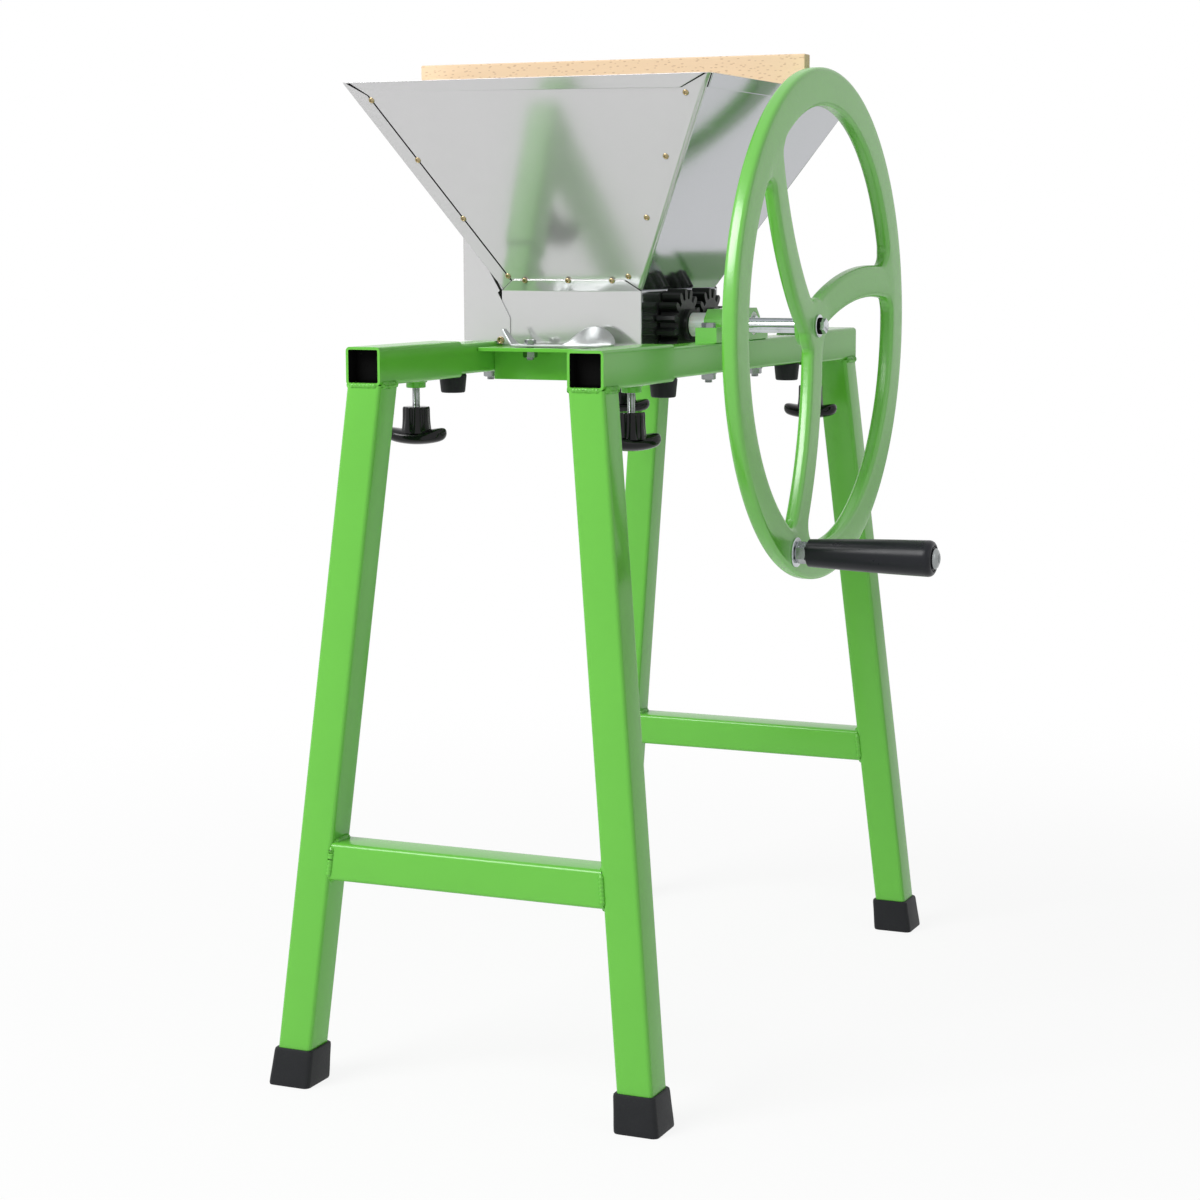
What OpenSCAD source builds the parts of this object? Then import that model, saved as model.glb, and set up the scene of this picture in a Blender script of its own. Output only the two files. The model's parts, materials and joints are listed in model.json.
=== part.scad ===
// Hand-cranked fruit crusher on a stand whose leg frames slide along two rails.
// X runs along the shafts toward the flywheel, Y along the rails, Z up from the floor.

/* [Rails and tubes] */
// Distance from the middle of the stand to the middle of each rail
rail_x = 90; // [84:1:100]
// Length of each rail
rail_len = 539; // [500:1:560]
// Outer width of the sleeves, legs and crossbars
tube_w = 28.5; // [26:0.5:32]
// Wall of every square tube
tube_wall = 2; // [1.5:0.1:2.5]
// Gap on each side between a rail and its sleeve
slide_gap = 0.25; // [0.1:0.05:0.5]

/* [Leg frames] */
// Height of the underside of the sleeves above the floor
stand_h = 532; // [450:1:650]
// Distance from the middle of the stand to the middle of a foot, across the rails
foot_x = 143.75; // [120:0.25:170]
// Distance from the middle of the stand to the middle of a foot, along the rails
foot_y = 303.75; // [290:0.25:330]
// Length of a sleeve
sleeve_len = 132; // [120:1:140]
// Distance from the middle of the stand to the outer end of a sleeve
sleeve_end_y = 282.5; // [276:0.5:300]
// Height of the underside of the crossbars above the floor
crossbar_z = 161; // [100:1:250]
// Height of a rubber foot cap
cap_h = 29; // [20:1:40]
// Wall of a rubber foot cap
cap_wall = 3.5; // [2:0.1:4.5]
// Floor of a rubber foot cap
cap_floor = 3; // [2:0.5:5]

/* [Clamps] */
// Distance from the middle of the stand to each clamp, along the rails
clamp_y = 200; // [190:1:210]
// Diameter of a welded clamp boss
boss_d = 15; // [12:0.5:20]
// Height of a welded clamp boss
boss_h = 5.5; // [4:0.5:8]
// Diameter of a clamp stud
stud_d = 6; // [5:0.5:8]
// Length of stud that shows between a boss and its knob
stud_show = 14.5; // [10:0.5:20]
// Diameter of a knob where the hub meets the wing
knob_d = 24; // [22:0.5:26]
// Height of the hub of a knob
knob_hub_h = 17.5; // [12:0.5:22]
// Length of the wing of a knob
wing_len = 48; // [40:1:52]
// Width of the wing of a knob at its middle
wing_w = 9; // [7:0.5:11]
// Diameter of the round ends of a wing
wing_end_d = 12; // [11.5:0.5:15]
// Height of the wing of a knob
wing_h = 12.5; // [8:0.5:16]

/* [Cross members] */
// Distance from the middle of the stand to the inner face of each cross member
cross_y = 86; // [84:1:90]
// Width of the top flange of a cross member
cross_flange = 33; // [30:1:38]
// Height of a cross member
cross_h = 26.5; // [20:0.5:32]
// Thickness of the angle iron
cross_wall = 3; // [2:0.5:4]
// Drop from the top of the rails to the top of the cross members
cross_drop = 3.75; // [3:0.25:6]

/* [Bearings and shafts] */
// Diameter of both shafts
shaft_d = 12; // [10:0.5:13]
// Distance between the two shafts
shaft_spacing = 52; // [51:0.5:53]
// Height of the shafts above the rails
shaft_rise = 13.25; // [12.5:0.25:15]
// Outer diameter of a shaft bush
bush_d = 19; // [17:0.5:20]
// Thickness of a bearing block along the shafts
block_t = 18; // [16:1:20]
// Length of the base of a bearing block
block_base_len = 116; // [112:1:120]
// Height of the base of a bearing block
block_base_h = 11.75; // [11:0.25:13]
// Length of the cap of a bearing block
block_cap_len = 80; // [76:1:84]
// Height of a bearing block
block_h = 25.75; // [25:0.25:30]
// Bevel on the upper corners of a bearing block
block_bevel = 8; // [4:0.5:9]

/* [Gears and rollers] */
// Teeth on each gear
teeth = 15; // [15:2:17]
// Width of a gear's toothed rim
gear_w = 15.5; // [12:0.5:16]
// Height of a tooth above the pitch circle
tooth_above = 2.6; // [2:0.1:2.8]
// Depth of a tooth below the pitch circle
tooth_below = 5.6; // [4:0.1:6]
// Play between meshing tooth flanks
tooth_play = 0.3; // [0.2:0.05:0.5]
// Diameter of the boss on the outer face of a gear
gear_boss_d = 25; // [22:1:30]
// Length of the boss on a gear
gear_boss_len = 4; // [2:0.5:5]
// Gap between the two rollers
roller_nip = 2; // [1:0.5:5]
// Height of a roller's ribs
rib_h = 3; // [2:0.5:5]
// Ribs on each roller
roller_ribs = 12; // [8:1:16]
// Width of a roller's rib
rib_w = 4; // [3:0.5:6]

/* [Throat box and guard] */
// Distance from the middle of the stand to the middle of the hopper, against the shafts
throat_offset = 13.2; // [12:0.1:14]
// Length of the throat box along the shafts
throat_x = 121.6; // [118:0.1:124]
// Length of the throat box along the rails
throat_y = 164; // [160:1:168]
// Height of the throat box above the rails
throat_rise = 40.35; // [38:0.05:46]
// Thickness of all sheet metal
sheet = 1.2; // [0.8:0.1:1.5]
// Height of the slanted lip of the throat box
lip_h = 8.5; // [7:0.5:14]
// Gap between the left rail and the outer wall of the guard
guard_gap = 5.5; // [4:0.5:8]

/* [Hopper] */
// Length of the hopper rim along the shafts
rim_x = 310; // [280:1:340]
// Length of the hopper rim along the rails
rim_y = 345; // [300:1:360]
// Height of the hopper above the throat box
hopper_h = 161.4; // [140:0.1:200]
// Height of the folded rim
hem_h = 10; // [6:1:14]
// Width of the corner flanges of the hopper
corner_flange = 14; // [12:1:18]
// Diameter of a rivet's head
rivet_d = 5.2; // [4.8:0.2:8]

/* [Pusher board] */
// Reach of the board past each side of the hopper rim
board_ear = 15; // [8:1:35]
// Thickness of the board
board_t = 12; // [10:1:18]
// Height of the shoulders above the hopper rim
shoulder_h = 23.5; // [18:0.5:30]
// Depth of the blade below the hopper rim
blade_h = 135; // [100:1:140]
// Gap between the blade and each side of the rim
blade_gap = 15; // [12:1:40]
// Length of the blade at its lower end
blade_bottom = 132; // [100:1:136]

/* [Flywheel] */
// Diameter of the flywheel
wheel_d = 399; // [370:1:405]
// Width of the rim seen from the side
rim_w = 29.5; // [24:0.5:34]
// Thickness of the rim
rim_t = 12; // [10:0.5:14]
// Distance from the right rail's outer face to the outer face of the rim
wheel_reach = 80.7; // [76:0.1:90]
// Distance that the hub's face lies behind the rim's face
wheel_dish = 7.2; // [5:0.1:9]
// Diameter of the hub plate
hub_d = 44; // [40:1:56]
// Diameter of the boss behind the hub
hub_boss_d = 33; // [28:1:38]
// Length from the hub's face to the end of its boss
hub_len = 14.5; // [12:0.5:18]
// Radius of the middle line of a curved spoke
spoke_r = 290; // [280:1:300]
// Width of a spoke
spoke_w = 26; // [20:1:30]
// Radius of the fillets where a spoke meets the rim
rim_fillet = 13; // [8:1:16]
// Radius of the fillets where a spoke meets the hub
hub_fillet = 7; // [4:1:10]

/* [Crank handle] */
// Distance from the outer edge of the wheel to the middle of the handle
crank_inset = 14.5; // [12:0.5:18]
// Angle of the handle around the wheel, from level toward the rear
crank_angle = 248; // [240:1:254]
// Length of the grip
grip_len = 106; // [90:1:120]
// Diameter of the grip at the wheel
grip_d_in = 21.5; // [19:0.5:25]
// Diameter of the grip at its outer end
grip_d_out = 28; // [24:0.5:32]
// Diameter of the handle bolt
crank_bolt_d = 8; // [6:0.5:10]
// Diameter of the handle bolt's head
crank_head_d = 16; // [13:0.5:19]

/* [Hidden] */
$fn = 72;

// How far cuts run past the faces that they open
overrun = 1;
// Radial gap of a part that turns in or on another
running_gap = 0.05;
// Radial gap of a part that is fixed on another
seat_gap = 0.02;
// Gap between faces that pass each other
face_gap = 0.3;
// Radial gap of a clearance hole
hole_gap = 0.3;
// Sides of the stand
left = -1;
right = 1;
// Ends of the stand
front = -1;
rear = 1;

// Colours of the finishes
green = [0.44, 0.76, 0.3];
black = [0.14, 0.14, 0.15];
zinc = [0.76, 0.77, 0.78];
galvanised = [0.78, 0.78, 0.8];
nylon = [0.93, 0.93, 0.9];
brass = [0.8, 0.68, 0.35];
beech = [0.93, 0.82, 0.62];

// Rails
rail_w = tube_w - 2 * tube_wall - 2 * slide_gap;
rail_z = stand_h + tube_w / 2;
rail_top = rail_z + rail_w / 2;
rail_bottom = rail_z - rail_w / 2;
rail_out_x = rail_x + rail_w / 2;
rail_in_x = rail_x - rail_w / 2;
plug_head = 1.5;
plug_depth = 10;
plug_play = 0.1;
// Rubber feet under the rails
rail_foot_y = 138;
rail_foot_d = 22;
rail_foot_end_d = 19;
rail_foot_h = 14.75;

// Legs
leg_top_y = sleeve_end_y - tube_w / 2;
cap_w = tube_w + 2 * cap_wall;

// Bearings
shaft_y = shaft_spacing / 2;
shaft_z = rail_top + shaft_rise;
block_in_x = rail_out_x - block_t;
block_bolt_x = rail_out_x - block_t / 2;
block_bolt_y = 52;
shaft_stub = 2;

// Fasteners of the frame
bolt_d = 6;
bolt_head_af = 10;
bolt_head_h = 4;
nut_h = 5;
bolt_tail = 2;
plate_bolt_y = 71;

// Throat box
throat_left = -throat_offset - throat_x / 2;
throat_right = -throat_offset + throat_x / 2;
throat_top = rail_top + throat_rise;
cross_top = rail_top - cross_drop;
lip_top = throat_top + lip_h;
wall_flange = 28;
wall_flange_end_x = 32;
wall_ear = 3.7;
plate_foot_len = 24;
plate_foot_w = 16;

// Gears and rollers
gear_gap = 1.4;
gear_x = throat_right + gear_gap;
gear_boss_x = gear_x + gear_w + gear_boss_len;
pitch_r = shaft_spacing / 2;
pressure_angle = 20;
base_r = pitch_r * cos(pressure_angle);
tip_r = pitch_r + tooth_above;
flank_steps = 4;
roller_gap = 1.8;
roller_d = shaft_spacing - roller_nip;
roller_core_d = roller_d - 2 * rib_h;

// Hopper: half sizes at its foot, slopes, and level thickness of its slanted sheet
foot_half_x = throat_x / 2 - sheet;
foot_half_y = throat_y / 2 - sheet;
rim_top = throat_top + hopper_h;
slope_x = (rim_x / 2 - sheet - foot_half_x) / hopper_h;
slope_y = (rim_y / 2 - sheet - foot_half_y) / hopper_h;
wall_x = sheet * sqrt(1 + slope_x * slope_x);
wall_y = sheet * sqrt(1 + slope_y * slope_y);
// Rivets: edge rivets up each front and rear corner, and a row along the lip
edge_rivets = 4;
edge_rivet_first = 11.7;
edge_rivet_last = 13.7;
lip_rivets = 3;
lip_rivet_spacing = 38;
inner_flange = corner_flange + 5;
// Seam between a corner flange and the long panel beside it, and the tab behind the seam
seam_gap = 0.6;
seam_tab = 8;
rivet_shank_d = 3;
rivet_head_h = 1.2;
rivet_tail_d = 4.6;
rivet_tail_h = 0.6;

// Guard
guard_x = -rail_out_x - guard_gap;
guard_edge_x = 7.6;
guard_chamfer_x = 10.6;
guard_chamfer_top = 21.4;
guard_bend_top = 1.6;
guard_screw_d = 3;
guard_screw_head_d = 6.2;
guard_screw_rise = 0.75;
guard_screw_head_h = 1.8;

// Deflector plates
deflector_hold = 8;
deflector_drop = 3;
deflector_gap = 2.8;
deflector_fall = 17;

// Hold-down clip
clip_x = -38;
clip_y = 105;
clip_w = 20;
clip_t = 1.5;
clip_half_flat = 13;
clip_far_flat = 32;
clip_tab_run = 9.6;
clip_tab_rise = 13;
clip_wing_run = 24;
clip_wing_rise = 14;
clip_fall_run = 15;
clip_fall_drop = 11;

// Flywheel
wheel_face_x = rail_out_x + wheel_reach;
rim_back_x = wheel_face_x - rim_t;
hub_face_x = wheel_face_x - wheel_dish;
hub_end_x = hub_face_x - hub_len;
hub_plate_t = 10.5;
spoke_t = 11;
wheel_r = wheel_d / 2;
rim_in_r = wheel_r - rim_w;
hub_r = hub_d / 2;
// The middle line of a spoke passes this far from the wheel's axis
spoke_miss = 3.3;
spoke_turn = -63.5;
spoke_count = 3;
spoke_centre = (spoke_r - spoke_miss) * [cos(spoke_turn), sin(spoke_turn)];
shaft_set_back = 1;
hub_washer_d = 18;
washer_t = 1.6;
hub_bolt_d = 8;
hub_bolt_af = 13;
hub_bolt_head_h = 5.3;
hub_bolt_depth = 20;

// Crank handle
crank_r = wheel_r - crank_inset;
crank_y = -shaft_y + crank_r * cos(crank_angle);
crank_z = shaft_z + crank_r * sin(crank_angle);
crank_washer_d = 23;
crank_nut_af = 15;
crank_nut_h = 6.5;
crank_head_h = 4;
nut_x = wheel_face_x + washer_t;
grip_x = nut_x + crank_nut_h + face_gap;
grip_end_x = grip_x + grip_len;
crank_head_x = grip_end_x + face_gap;
crank_bolt_end_x = rim_back_x - bolt_tail;

// Pusher board
board_front = -9;
board_rear = board_front + board_t;
board_len = rim_x + 2 * board_ear;
board_left = -throat_offset - board_len / 2;
blade_top = rim_x - 2 * blade_gap;

// Clamps
boss_bottom = stand_h - boss_h;
knob_top = boss_bottom - stud_show;
wing_top = knob_top - knob_hub_h;
knob_neck_d = 21;
knob_grip_depth = 14;

// The part's origin lies under the middle of its length along the shafts
origin_shift = -(board_left + crank_head_x + crank_head_h) / 2;

module placed() {
    translate([origin_shift, 0, 0])
        children();
}

// Mirrors a piece of the right rear corner to another corner
module at_corner(side, end) {
    mirror([side == left ? 1 : 0, 0, 0])
        mirror([0, end == front ? 1 : 0, 0])
            children();
}

module at_end(end) {
    at_corner(right, end)
        children();
}

// Extrudes an outline drawn in Y and Z along X
module along_x(from, to) {
    translate([from, 0, 0])
        rotate([90, 0, 90])
            linear_extrude(to - from)
                children();
}

// Extrudes an outline drawn in X and Z along Y
module along_y(from, to) {
    translate([0, to, 0])
        rotate([90, 0, 0])
            linear_extrude(to - from)
                children();
}

// Box between two corners
module block(low, high) {
    translate(low)
        cube(high - low);
}

function unit(v) = v / norm(v);
function left_of(v) = [-v[1], v[0]];

// Point of a path moved sideways by the sheet's thickness, mitred at bends
function side_point(path, i, t) =
    let (
        before = unit(i > 0 ? path[i] - path[i - 1] : path[1] - path[0]),
        after = i < len(path) - 1 ? unit(path[i + 1] - path[i]) : before,
        bisector = unit(left_of(before) + left_of(after))
    )
    path[i] + bisector * t / (bisector * left_of(before));

// Outline of a bent sheet: the path is one face, the other lies to its left
function bent_sheet(path, t) =
    concat(path, [for (i = [len(path) - 1:-1:0]) side_point(path, i, t)]);

// Solid between a level rectangle [x0, x1, y0, y1] at z0 and another at z1
module taper(low, high, z0, z1) {
    function corners(r, z) = [[r[0], r[2], z], [r[1], r[2], z], [r[1], r[3], z], [r[0], r[3], z]];
    polyhedron(
        points = concat(corners(low, z0), corners(high, z1)),
        faces = [[0, 1, 2, 3], [7, 6, 5, 4], [0, 4, 5, 1], [1, 5, 6, 2], [2, 6, 7, 3], [3, 7, 4, 0]]
    );
}

// Hexagonal prism along Z, by the distance across its flats
module hexagon(flats, h) {
    cylinder(d = flats / cos(30), h = h, $fn = 6);
}

// Rails

module square_tube(w, wall) {
    difference() {
        square(w, center = true);
        square(w - 2 * wall, center = true);
    }
}

module rail(side) {
    bolt_places = side == left
        ? [[block_bolt_x, block_bolt_y], [rail_x, plate_bolt_y]]
        : [[block_bolt_x, block_bolt_y]];
    color(green)
        mirror([side == left ? 1 : 0, 0, 0])
            difference() {
                along_y(-rail_len / 2, rail_len / 2)
                    translate([rail_x, rail_z])
                        square_tube(rail_w, tube_wall);
                for (p = bolt_places, end = [front, rear])
                    translate([p[0], end * p[1], rail_bottom - overrun])
                        cylinder(d = bolt_d + 2 * hole_gap, h = rail_w + 2 * overrun);
            }
}

module rail_end_plugs() {
    plug_w = rail_w - 2 * tube_wall - 2 * plug_play;
    color(black)
        for (side = [left, right], end = [front, rear])
            at_corner(side, end) {
                along_y(rail_len / 2, rail_len / 2 + plug_head)
                    translate([rail_x, rail_z])
                        square(rail_w, center = true);
                along_y(rail_len / 2 - plug_depth, rail_len / 2)
                    translate([rail_x, rail_z])
                        square(plug_w, center = true);
            }
}

module rail_feet() {
    color(black)
        for (side = [left, right], end = [front, rear])
            translate([side * rail_x, end * rail_foot_y, rail_bottom - rail_foot_h])
                cylinder(d1 = rail_foot_end_d, d2 = rail_foot_d, h = rail_foot_h);
}

// Cross members

module clip_bolt_hole(gap) {
    translate([clip_x, -clip_y, cross_top - cross_wall - overrun])
        cylinder(d = bolt_d + 2 * gap, h = cross_wall + cross_drop + 2 * overrun);
}

module cross_member(end) {
    web_y = cross_y + cross_wall;
    color(green)
        difference() {
            at_end(end)
                along_x(-rail_in_x, rail_in_x)
                    polygon([
                        [cross_y, cross_top - cross_h],
                        [web_y, cross_top - cross_h],
                        [web_y, cross_top - cross_wall],
                        [cross_y + cross_flange, cross_top - cross_wall],
                        [cross_y + cross_flange, cross_top],
                        [cross_y, cross_top]
                    ]);
            if (end == front)
                clip_bolt_hole(hole_gap);
        }
}

// Bearings

module bearing_block(side) {
    half_base = block_base_len / 2;
    half_cap = block_cap_len / 2;
    color(green)
        mirror([side == left ? 1 : 0, 0, 0])
            difference() {
                along_x(block_in_x, rail_out_x)
                    difference() {
                        translate([0, rail_top])
                            polygon([
                                [-half_base, 0],
                                [half_base, 0],
                                [half_base, block_base_h],
                                [half_cap, block_base_h],
                                [half_cap, block_h - block_bevel],
                                [half_cap - block_bevel, block_h],
                                [block_bevel - half_cap, block_h],
                                [-half_cap, block_h - block_bevel],
                                [-half_cap, block_base_h],
                                [-half_base, block_base_h]
                            ]);
                        for (end = [front, rear])
                            translate([end * shaft_y, shaft_z])
                                circle(d = bush_d + 2 * seat_gap);
                    }
                for (end = [front, rear])
                    translate([block_bolt_x, end * block_bolt_y, rail_top - overrun])
                        cylinder(d = bolt_d + 2 * hole_gap, h = block_base_h + 2 * overrun);
            }
}

module shaft_bushes() {
    spans = [[-rail_out_x, throat_left - face_gap], [gear_boss_x + face_gap, rail_out_x]];
    color(nylon)
        for (span = spans, end = [front, rear])
            along_x(span[0], span[1])
                translate([end * shaft_y, shaft_z])
                    difference() {
                        circle(d = bush_d);
                        circle(d = shaft_d + 2 * running_gap);
                    }
}

// Hexagon bolt whose head rests on top_z, with a nut whose upper face lies at nut_z
module bolt_with_nut(top_z, nut_z) {
    tail_z = nut_z - nut_h - bolt_tail;
    translate([0, 0, tail_z])
        cylinder(d = bolt_d, h = top_z - tail_z);
    translate([0, 0, top_z])
        hexagon(bolt_head_af, bolt_head_h);
    translate([0, 0, nut_z - nut_h])
        difference() {
            hexagon(bolt_head_af, nut_h);
            translate([0, 0, -overrun])
                cylinder(d = bolt_d + 2 * seat_gap, h = nut_h + 2 * overrun);
        }
}

module frame_bolts() {
    color(zinc)
        for (end = [front, rear]) {
            for (side = [left, right])
                translate([side * block_bolt_x, end * block_bolt_y, 0])
                    bolt_with_nut(rail_top + block_base_h, rail_bottom);
            translate([-rail_x, end * plate_bolt_y, 0])
                bolt_with_nut(rail_top + sheet, rail_bottom);
        }
}

// Hopper and throat box

function hopper_x(z) = foot_half_x + slope_x * (z - throat_top);
function hopper_y(z) = foot_half_y + slope_y * (z - throat_top);

edge_rivet_z = [
    for (i = [0:edge_rivets - 1])
        throat_top + edge_rivet_first
            + i * (hopper_h - edge_rivet_first - edge_rivet_last) / (edge_rivets - 1)
];
lip_rivet_z = lip_top;

// Rivet along Z: its head lies on the outer face at z = 0, its tail under the sheets
module rivet(sheets) {
    grip_h = sheets * sheet;
    rotate_extrude()
        polygon([
            [0, -grip_h - rivet_tail_h],
            [rivet_tail_d / 2, -grip_h - rivet_tail_h],
            [rivet_tail_d / 2, -grip_h],
            [rivet_shank_d / 2, -grip_h],
            [rivet_shank_d / 2, 0],
            [rivet_d / 2, 0],
            [rivet_d / 2, rivet_head_h / 3],
            [rivet_d / 3, rivet_head_h],
            [0, rivet_head_h]
        ]);
}

module rivet_hole() {
    translate([0, 0, -3 * sheet])
        cylinder(d = rivet_shank_d + 2 * seat_gap, h = 4 * sheet);
}

// Puts rivets through the front and rear panels, square to the sheet. On the left they sit on the
// seam beside the corner flange, on the right they go through the inner flange
module on_long_panels() {
    for (end = [front, rear])
        at_end(end) {
            for (side = [left, right], z = edge_rivet_z)
                translate([side * (hopper_x(z) - corner_flange) - throat_offset, hopper_y(z), z])
                    rotate([-90 - atan(slope_y), 0, 0])
                        children(0);
            for (i = [0:lip_rivets - 1])
                translate([
                    (i - (lip_rivets - 1) / 2) * lip_rivet_spacing - throat_offset,
                    hopper_y(lip_rivet_z) + wall_y,
                    lip_rivet_z
                ])
                    rotate([-90 - atan(slope_y), 0, 0])
                        children(1);
        }
}

// Puts rivets through the left and right panels, square to the sheet
module on_short_panels() {
    translate([-throat_offset, 0, 0])
        for (side = [left, right])
            mirror([side == left ? 1 : 0, 0, 0])
                for (i = [0:lip_rivets - 1])
                    translate([
                        hopper_x(lip_rivet_z) + wall_x,
                        (i - (lip_rivets - 1) / 2) * lip_rivet_spacing,
                        lip_rivet_z
                    ])
                        rotate([0, 90 + atan(slope_x), 0])
                            children();
}

module hopper_rivets() {
    color(brass) {
        on_long_panels() {
            rivet(2);
            rivet(2);
        }
        on_short_panels()
            rivet(2);
    }
}

// Front or rear hopper panel with its folded rim
module long_panel(end) {
    hem_z = rim_top - hem_h;
    color(galvanised)
        difference() {
            translate([-throat_offset, 0, 0])
                at_end(end) {
                    long_panel_wall(corner_flange + seam_gap / 2, throat_top, hem_z);
                    long_panel_wall(wall_x, hem_z, rim_top);
                    seam_tab_strip(throat_top, hem_z);
                    taper(
                        [
                            -hopper_x(hem_z) - sheet, hopper_x(hem_z) + sheet,
                            hopper_y(hem_z) - wall_y / 2, hopper_y(hem_z) + sheet
                        ],
                        [-rim_x / 2, rim_x / 2, hopper_y(rim_top) - wall_y / 2, rim_y / 2],
                        hem_z, rim_top
                    );
                }
            on_long_panels() {
                rivet_hole();
                rivet_hole();
            }
        }
}

// Slanted wall that starts this far from the hopper's left corner
module long_panel_wall(start, z0, z1) {
    function at(z) = [start - hopper_x(z), hopper_x(z), hopper_y(z) - wall_y, hopper_y(z)];
    taper(at(z0), at(z1), z0, z1);
}

// Tab of a long panel that lies behind the left seam, with a thicker root in the panel
module seam_tab_strip(z0, z1) {
    seam = corner_flange + seam_gap / 2;
    function at(z, from, to, outer) = [
        from - hopper_x(z), to - hopper_x(z),
        hopper_y(z) - 2 * wall_y, hopper_y(z) - outer
    ];
    function tab(z) = at(z, corner_flange - seam_tab, seam + wall_y, wall_y + running_gap);
    function root(z) = at(z, seam, corner_flange + seam_tab, wall_y / 2);
    taper(tab(z0), tab(z1), z0, z1);
    taper(root(z0), root(z1), z0, z1);
}

// Left or right hopper panel with its folded rim and its two corner flanges
module short_panel(side) {
    hem_z = rim_top - hem_h;
    color(galvanised)
        difference() {
            translate([-throat_offset, 0, 0])
                mirror([side == left ? 1 : 0, 0, 0]) {
                    short_panel_wall(0, throat_top, rim_top);
                    if (side == left)
                        short_panel_wall(wall_y, throat_top, hem_z - face_gap);
                    taper(
                        [
                            hopper_x(hem_z) - wall_x / 2, hopper_x(hem_z) + sheet,
                            wall_y - hopper_y(hem_z), hopper_y(hem_z) - wall_y
                        ],
                        [
                            hopper_x(rim_top) - wall_x / 2, rim_x / 2,
                            wall_y - hopper_y(rim_top), hopper_y(rim_top) - wall_y
                        ],
                        hem_z, rim_top
                    );
                    for (end = [front, rear])
                        at_end(end)
                            if (side == left)
                                outer_flange_strip(throat_top, hem_z - face_gap);
                            else
                                inner_flange_strip(throat_top, rim_top);
                }
            on_long_panels() {
                rivet_hole();
                rivet_hole();
            }
            on_short_panels()
                rivet_hole();
        }
}

// Slanted wall between the long panels, or past them by a given length
module short_panel_wall(past, z0, z1) {
    function half(z) = hopper_y(z) - wall_y + past;
    function at(z) = [hopper_x(z) - wall_x, hopper_x(z), -half(z), half(z)];
    taper(at(z0), at(z1), z0, z1);
}

// Corner flange level with the long panel
module outer_flange_strip(z0, z1) {
    function at(z) = [
        hopper_x(z) - corner_flange + seam_gap / 2, hopper_x(z),
        hopper_y(z) - wall_y, hopper_y(z)
    ];
    taper(at(z0), at(z1), z0, z1);
}

module inner_flange_strip(z0, z1) {
    function at(z) = [
        hopper_x(z) - inner_flange, hopper_x(z) - wall_x,
        hopper_y(z) - 2 * wall_y, hopper_y(z) - wall_y
    ];
    taper(at(z0), at(z1), z0, z1);
}

module throat_long_wall(end) {
    color(galvanised)
        difference() {
            at_end(end) {
                along_x(throat_left, throat_right)
                    polygon([
                        [foot_half_y, cross_top],
                        [throat_y / 2, cross_top],
                        [throat_y / 2, throat_top],
                        [hopper_y(lip_top) + wall_y, lip_top],
                        [hopper_y(lip_top), lip_top],
                        [foot_half_y, throat_top]
                    ]);
                block(
                    [throat_left - wall_ear, foot_half_y, cross_top],
                    [throat_left, throat_y / 2, throat_top]
                );
                block(
                    [throat_left - wall_ear, throat_y / 2, cross_top],
                    [wall_flange_end_x, throat_y / 2 + wall_flange, cross_top + sheet]
                );
            }
            on_long_panels() {
                rivet_hole();
                rivet_hole();
            }
            guard_screw_holes();
            if (end == front)
                clip_bolt_hole(hole_gap);
        }
}

module side_plate(side) {
    color(galvanised)
        difference() {
            translate([-throat_offset, 0, 0])
                mirror([side == left ? 1 : 0, 0, 0])
                    along_y(-foot_half_y, foot_half_y)
                        polygon([
                            [foot_half_x, cross_top],
                            [throat_x / 2, cross_top],
                            [throat_x / 2, throat_top],
                            [hopper_x(lip_top) + wall_x, lip_top],
                            [hopper_x(lip_top), lip_top],
                            [foot_half_x, throat_top]
                        ]);
            for (end = [front, rear])
                along_x(throat_left - overrun, throat_right + overrun)
                    translate([end * shaft_y, shaft_z])
                        circle(d = shaft_d + 4 * hole_gap);
            on_short_panels()
                rivet_hole();
        }
    if (side == left)
        side_plate_feet();
}

// Feet of the left side plate, bolted to the left rail
module side_plate_feet() {
    color(galvanised)
        for (end = [front, rear])
            at_end(end)
                difference() {
                    block(
                        [throat_left - plate_foot_len, plate_bolt_y - plate_foot_w / 2, rail_top],
                        [throat_left, plate_bolt_y + plate_foot_w / 2 - sheet, rail_top + sheet]
                    );
                    translate([-rail_x, plate_bolt_y, rail_top - overrun])
                        cylinder(d = bolt_d + 2 * hole_gap, h = sheet + 2 * overrun);
                }
}

// Guard

module guard_screw_places() {
    screw_x = -rail_in_x + face_gap + guard_screw_head_d / 2;
    for (end = [front, rear])
        at_end(end)
            translate([screw_x, throat_y / 2 + sheet, rail_top + guard_screw_rise])
                rotate([-90, 0, 0])
                    children();
}

module guard_screw_holes() {
    guard_screw_places()
        translate([0, 0, -3 * sheet])
            cylinder(d = guard_screw_d + 2 * seat_gap, h = 4 * sheet);
}

module guard_screws() {
    color(brass)
        guard_screw_places() {
            translate([0, 0, face_gap - 2 * sheet])
                cylinder(d = guard_screw_d, h = 2 * sheet - face_gap);
            cylinder(d1 = guard_screw_head_d, d2 = guard_screw_d, h = guard_screw_head_h);
        }
}

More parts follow.
